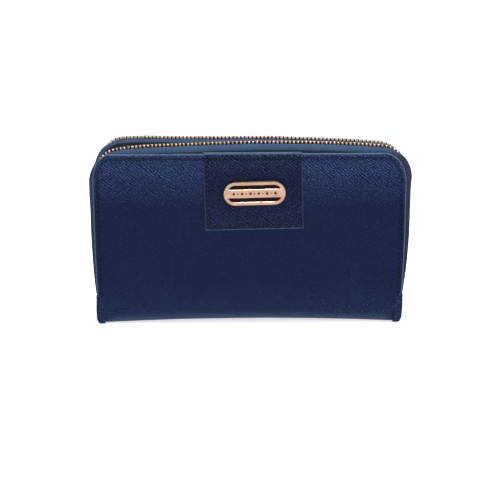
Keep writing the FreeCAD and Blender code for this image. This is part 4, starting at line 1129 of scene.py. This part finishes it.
def tab():
    # b runs up the tab from its lower edge, over the cover's edge and down behind it
    b_face = np.concatenate([[0, 0.12, 0.3, 0.55, 0.9, 1.3, 1.7, 2.1, 2.5, 2.9, 3.4], np.linspace(4.2, 44.9, 46)])
    e = np.array([0, 0.12, 0.3, 0.55, 0.9, 1.3, 1.7, 2.1, 2.5, 2.9, 3.4])
    a = np.concatenate([-TAB_HALF + e, np.linspace(-26, 26, 48), (TAB_HALF - e)[::-1]])
    dip = waves(95, 8, 14, 40)
    low = 60.3
    nodes_out, nodes_in, uvs, painted_light_rows = [], [], [], []
    c, s = math.cos(TAB_ROT), math.sin(TAB_ROT)
    face_top = TOP - 1.5
    for b in b_face:
        # local up coordinate measured from the tab's centre line point
        zz = low + b - TAB_Z0
        X = TAB_X0 + a * c - zz * s
        Z = TAB_Z0 + a * s * (1 - smooth(31, 45, b)) + zz * c
        Z = np.minimum(Z, face_top)
        d = np.minimum(TAB_HALF - np.abs(a), b + 0 * a)
        h = TAB_T - edge_drop(np.maximum(d, 0), 0.5) * 0.9
        h = h - 0.16 * np.exp(-(((d - 2.2) / 0.40) ** 2)) + 0.05 * np.exp(-(((d - 1.1) / 0.5) ** 2))
        h = h + 0.05 * dip(X, Z) * smooth(2, 8, d)
        base = 20.0 + crown(X, Z) + 0.10 * undulate["front"](X, Z) * smooth(2, 12, TOP - Z)
        h = h + 0.10 * np.exp(-(((TOP - Z - 1.9) / 0.7) ** 2)) - 0.34 * np.exp(-(((TOP - Z - 3.4) / 0.55) ** 2))
        nodes_out.append(np.stack([X, -(base + h), Z], -1))
        nodes_in.append(np.stack([X, -(base - 0.12 + 0 * h), Z], -1))
        uvs.append(np.stack([a, b + 0 * a], -1))
        # painted light on the tab: a painted highlight along its edges, painted shade along the stitch line and in the
        # groove below the top edge
        painted_light_rows.append(np.where(b + 0 * a < 1.2, 0.55, 0.30) * np.exp(-(((d - 0.25) / 0.35) ** 2)) - 0.9 * np.exp(-(((d - 2.2) / 0.5) ** 2)) - 1.0 * np.exp(-(((TOP - Z - 3.2) / 0.6) ** 2)))
    # over the edge
    R = 1.95
    cy, cz = -(20.0 - 0.62 + TAB_T - R), face_top + 0.45
    for ang in np.radians(np.concatenate([np.linspace(8, 90, 9)])):
        b = 44.9 + ang * R
        X = TAB_X0 + a * c - (face_top - TAB_Z0) * s
        d = TAB_HALF - np.abs(a)
        e2 = edge_drop(np.maximum(d, 0), 0.5) * 0.9
        rr = R - e2 - 0.16 * np.exp(-(((d - 2.2) / 0.40) ** 2))
        base = 0.10 * 0
        Y = cy - rr * math.cos(ang)
        Z = cz + rr * math.sin(ang) + 0 * a
        nodes_out.append(np.stack([X, Y, Z], -1))
        ri = R - TAB_T
        nodes_in.append(np.stack([X, cy - ri * math.cos(ang) + 0 * a, cz + ri * math.sin(ang) + 0 * a], -1))
        uvs.append(np.stack([a, b + 0 * a], -1))
        # painted highlight on the rolled top edge
        painted_light_rows.append(0.85 * smooth(0.1, 0.6, ang) + 0 * a)
    for back in (0.5, 1.0, 1.35):
        d = TAB_HALF - np.abs(a)
        e2 = edge_drop(np.maximum(d, 0), 0.5) * 0.9
        X = TAB_X0 + a * c - (face_top - TAB_Z0) * s
        nodes_out.append(np.stack([X, cy + back + 0 * a, cz + R - e2 - 0.12 * back], -1))
        nodes_in.append(np.stack([X, cy + back + 0 * a, cz + R - TAB_T - 0.12 * back + 0 * a], -1))
        uvs.append(np.stack([a, 47.5 + back + 0 * a], -1))
        # painted highlight carried on behind the top edge
        painted_light_rows.append(0.6 + 0 * a)
    out, inn = np.array(nodes_out), np.array(nodes_in)
    v, f = shell(out, inn)
    uv = np.array(uvs).reshape(-1, 2)
    uv = np.concatenate([uv, uv])
    painted_light = np.array(painted_light_rows).reshape(-1)
    ob = mesh("front_tab", v, f, M_TAB, uv, sharp=60, painted_light=np.concatenate([painted_light, 0 * painted_light]))
    bm_fix(ob)
    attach(ob, FRONT_B)
    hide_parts("front_tab_leather")
    # stitches down the sides and along the lower edge
    g = 2.2
    pts = []
    for aa, bb in [(-TAB_HALF + g, 44.4), (-TAB_HALF + g, g), (TAB_HALF - g, g), (TAB_HALF - g, 44.4)]:
        pts.append((aa, bb))
    dense = []
    for (a0, b0), (a1, b1) in zip(pts[:-1], pts[1:]):
        for t in np.linspace(0, 1, 60, endpoint=False):
            dense.append((a0 + (a1 - a0) * t, b0 + (b1 - b0) * t))
    dense = np.array(dense + [pts[-1]])
    aa, bb = dense[:, 0], dense[:, 1]
    zz = low + bb - TAB_Z0
    X = TAB_X0 + aa * c - zz * s
    Z = TAB_Z0 + aa * s * (1 - smooth(31, 45, bb)) + zz * c
    base = 20.0 + crown(X, Z) + 0.10 * undulate["front"](X, Z) * smooth(2, 12, TOP - Z)
    path = np.stack([X, -(base + TAB_T - 0.10), Z], -1)
    pr = along(path, 2.9, 2.0)
    st = stitches("front_tab_stitches", pr, np.tile([0.0, -1.0, 0.0], (len(pr), 1)), M_THREAD_D, length=2.0, radius=0.22, body=FRONT_B)
    return ob


tab_ob = tab()


# ---------------------------------------------------------------- leather caps over the zip's tucked ends
def end_cap(which, side):
    back = which == "back"
    key = "R" if side > 0 else "L"
    zs = np.concatenate([[0.9, 1.05, 1.4, 2.0, 3.0, 4.0], np.linspace(5, 17, 14), [17.8, 18.5, 18.85, 19.0]])
    out, inn = [], []
    for z in zs:
        w = float(panel_half(z, key))
        ends = float(edge_drop(min(z - 0.9, 19.0 - z), 0.7))
        ext = (1.3 if side > 0 else 1.1) * float(smooth(0.4, 4.0, z)) * (1 - 0.35 * float(smooth(9, 18, z)))
        x_out = w + ext - ends * 0.6
        y_face = 20.42 - ends * 0.55
        pts = [(w - 4.4, y_face - 0.5), (w - 4.25, y_face - 0.12), (w - 3.9, y_face), (w - 2.6, y_face + 0.06), (w - 1.3, y_face + 0.02)]
        r = 1.7
        for a in np.radians(np.linspace(12, 90, 9)):
            pts.append((x_out - r + r * math.sin(a), y_face - r + r * math.cos(a)))
        pts += [(x_out + 0.05, 17.6), (x_out - 0.02, 16.6), (x_out - 0.2, 15.9)]
        pts = np.array(pts)
        d = np.gradient(pts, axis=0)
        d /= np.linalg.norm(d, axis=1)[:, None]
        q = pts + np.stack([d[:, 1], -d[:, 0]], -1) * 0.55
        sg = 1 if back else -1
        out.append(np.stack([side * pts[:, 0], sg * pts[:, 1], np.full(len(pts), z)], -1))
        inn.append(np.stack([side * q[:, 0], sg * q[:, 1], np.full(len(pts), z)], -1))
    out, inn = np.array(out), np.array(inn)
    v, f = shell(out, inn)
    u = np.arange(out.shape[1]) * 0.62
    uv = np.stack(np.broadcast_arrays(u[None, :], zs[:, None]), -1).reshape(-1, 2)
    name = "%s_zip_end_cap_%s" % (which, "right" if side > 0 else "left")
    ob = mesh(name, v, f, M_SKIN, np.concatenate([uv, uv]), sharp=60)
    bm_fix(ob)
    sg = 1 if back else -1
    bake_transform(ob)
    z = np.linspace(4.4, 17.8, 60)
    w = panel_half(z, key)
    path = np.stack([side * (w - 3.0), np.full(60, sg * 20.47), z], -1)
    pr = along(path, 1.35, 1.15)
    st = stitches(name + "_stitches", pr, np.tile([0.0, float(sg), 0.0], (len(pr), 1)), M_THREAD_D, length=1.25, radius=0.36, sink=0.06)
    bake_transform(st)


for w_ in ("front", "back"):
    for s_ in (1, -1):
        end_cap(w_, s_)


# ---------------------------------------------------------------- metal parts kept from the CAD
def finish_cad(node, mat, bevel=None):
    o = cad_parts[node]
    o.data.materials.clear()
    o.data.materials.append(mat)
    if bevel:
        w = o.modifiers.new("weld", "WELD")
        w.merge_threshold = 0.000002
        m = o.modifiers.new("edges", "BEVEL")
        m.width, m.segments, m.limit_method, m.angle_limit = bevel * MM, 3, "ANGLE", math.radians(35)
        m.use_clamp_overlap = True
        m.harden_normals = False
    return o


finish_cad("nameplate_frame", M_PLATE, 0.45)
finish_cad("nameplate_inlay", M_DARK)
finish_cad("nameplate_washer", M_METAL)
for n in ("front", "back"):
    finish_cad(n + "_zip_slider_body", M_METAL, 0.22)
    finish_cad(n + "_zip_slider_pin", M_METAL)
    finish_cad(n + "_zip_pull_tab", M_METAL, 0.22)
    for k in ("cover_side", "divider_side"):
        finish_cad("%s_zip_stops_%s" % (n, k), M_METAL, 0.12)
finish_cad("coin_zip_slider_body", M_METAL, 0.15)
finish_cad("coin_zip_pull_tab", M_METAL, 0.2)
finish_cad("coin_zip_teeth_upper", M_COIN_TEETH, 0.12)
finish_cad("coin_zip_teeth_lower", M_COIN_TEETH, 0.12)
finish_cad("coin_zip_stops", M_METAL, 0.1)


# a plain engraved border of small lozenges on the plate's bar
def engraving():
    turn = math.radians(1.2)
    vs, fs, base = [], [], 0
    y0 = -(20.05 + 1.0 + 0.5 + 1.5)
    n = 11
    for i in range(n):
        cx = (i - (n - 1) / 2) * 2.55
        big = i % 2 == 0
        hw, hh = (1.0, 1.15) if big else (0.5, 0.55)
        pts = [(cx - hw, 0), (cx, -hh), (cx + hw, 0), (cx, hh)]
        ring = []
        for lift in (0.12, -0.02, -0.03):
            k = 1.0 if lift > 0 or lift == -0.02 else 0.55
            for px, pz in pts:
                qx, qz = cx + (px - cx) * k, pz * k
                X = 3.0 + qx * math.cos(turn) - qz * math.sin(turn)
                Z = 82.8 + qx * math.sin(turn) + qz * math.cos(turn)
                ring.append((X, y0 + lift, Z))
        vs += ring
        for r in range(2):
            for c in range(4):
                a, b = base + r * 4 + c, base + r * 4 + (c + 1) % 4
                fs.append([a, b, b + 4, a + 4])
        fs.append([base + 8 + c for c in range(4)])
        fs.append([base + c for c in range(4)][::-1])
        base += 12
    ob = mesh("nameplate_lozenges", vs, fs, M_ENAMEL, sharp=30)
    bm_fix(ob)
    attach(ob, FRONT_B)


engraving()


# ---------------------------------------------------------------- stage, light and camera
def stage_():
    n = Nodes("studio_floor")
    co, x, y, z = n.obj()
    n.put(n.b.inputs["Base Color"], n.mix(n.noise(co, 0.002, 2.0), (0.93, 0.93, 0.93, 1), (0.96, 0.96, 0.96, 1)))
    n.put(n.b.inputs["Roughness"], n.rng(n.noise(co, 0.02, 2.0), 0.3, 0.7, 0.75, 0.85))
    n.b.inputs["Emission Color"].default_value = (1, 1, 1, 1)
    n.b.inputs["Emission Strength"].default_value = 0.68
    g = np.linspace(-15000, 15000, 7)
    v = np.array([[(x_, y_, -0.02) for x_ in g] for y_ in g])
    ob = mesh("floor", v.reshape(-1, 3), quads(7, 7), n.mat)


stage_()

world = bpy.data.worlds.new("studio")
bpy.context.scene.world = world
world.use_nodes = True
wt = world.node_tree
bg = wt.nodes["Background"]
geo = wt.nodes.new("ShaderNodeTexCoord")
sep = wt.nodes.new("ShaderNodeSeparateXYZ")
ramp = wt.nodes.new("ShaderNodeMapRange")
ramp.interpolation_type = "SMOOTHSTEP"
wt.links.new(geo.outputs["Generated"], sep.inputs[0])
wt.links.new(sep.outputs[2], ramp.inputs[0])
for i, val in enumerate((0.42, 0.62, 1.02, 0.10)):
    ramp.inputs[i + 1].default_value = val
bg.inputs[0].default_value = (1.0, 1.0, 1.0, 1)
wt.links.new(ramp.outputs[0], bg.inputs[1])


def area(name, loc, target, size, power, color=(1, 1, 1), size_y=None):
    d = bpy.data.lights.new(name, "AREA")
    d.energy, d.color, d.size = power, color, size
    if size_y:
        d.shape, d.size_y = "RECTANGLE", size_y
    o = bpy.data.objects.new(name, d)
    o.location = Vector(loc)
    o.rotation_euler = (Vector(target) - Vector(loc)).to_track_quat("-Z", "Y").to_euler()
    bpy.context.scene.collection.objects.link(o)
    return o


area("top", (0.05, -0.10, 1.0), (0, 0, 0.08), 0.34, 11.5, size_y=0.22)
area("key", (0.55, -0.65, 0.85), (0, 0, 0.05), 0.35, 2.6)
area("fill", (-0.7, -0.8, 0.55), (0, 0, 0.05), 0.5, 0.3)

cam_d = bpy.data.cameras.new("camera")
cam = bpy.data.objects.new("camera", cam_d)
bpy.context.scene.collection.objects.link(cam)
ELEV = math.radians(9.75)
DIST = 0.550
aim = Vector((0.0, -0.020, 0.054))
back = Vector((0, -math.cos(ELEV), math.sin(ELEV)))
cam.location = aim + back * DIST
q = (-back).to_track_quat("-Z", "Y") @ Quaternion((0, 0, 1), math.radians(-0.33))
cam.rotation_mode = "QUATERNION"
cam.rotation_quaternion = q
cam_d.lens, cam_d.sensor_width = 64.0, 36.0
cam_d.shift_x, cam_d.shift_y = 0.0, -0.0212
cam_d.clip_start, cam_d.clip_end = 0.01, 20.0
bpy.context.scene.camera = cam
bpy.context.scene.view_settings.view_transform = "Standard"
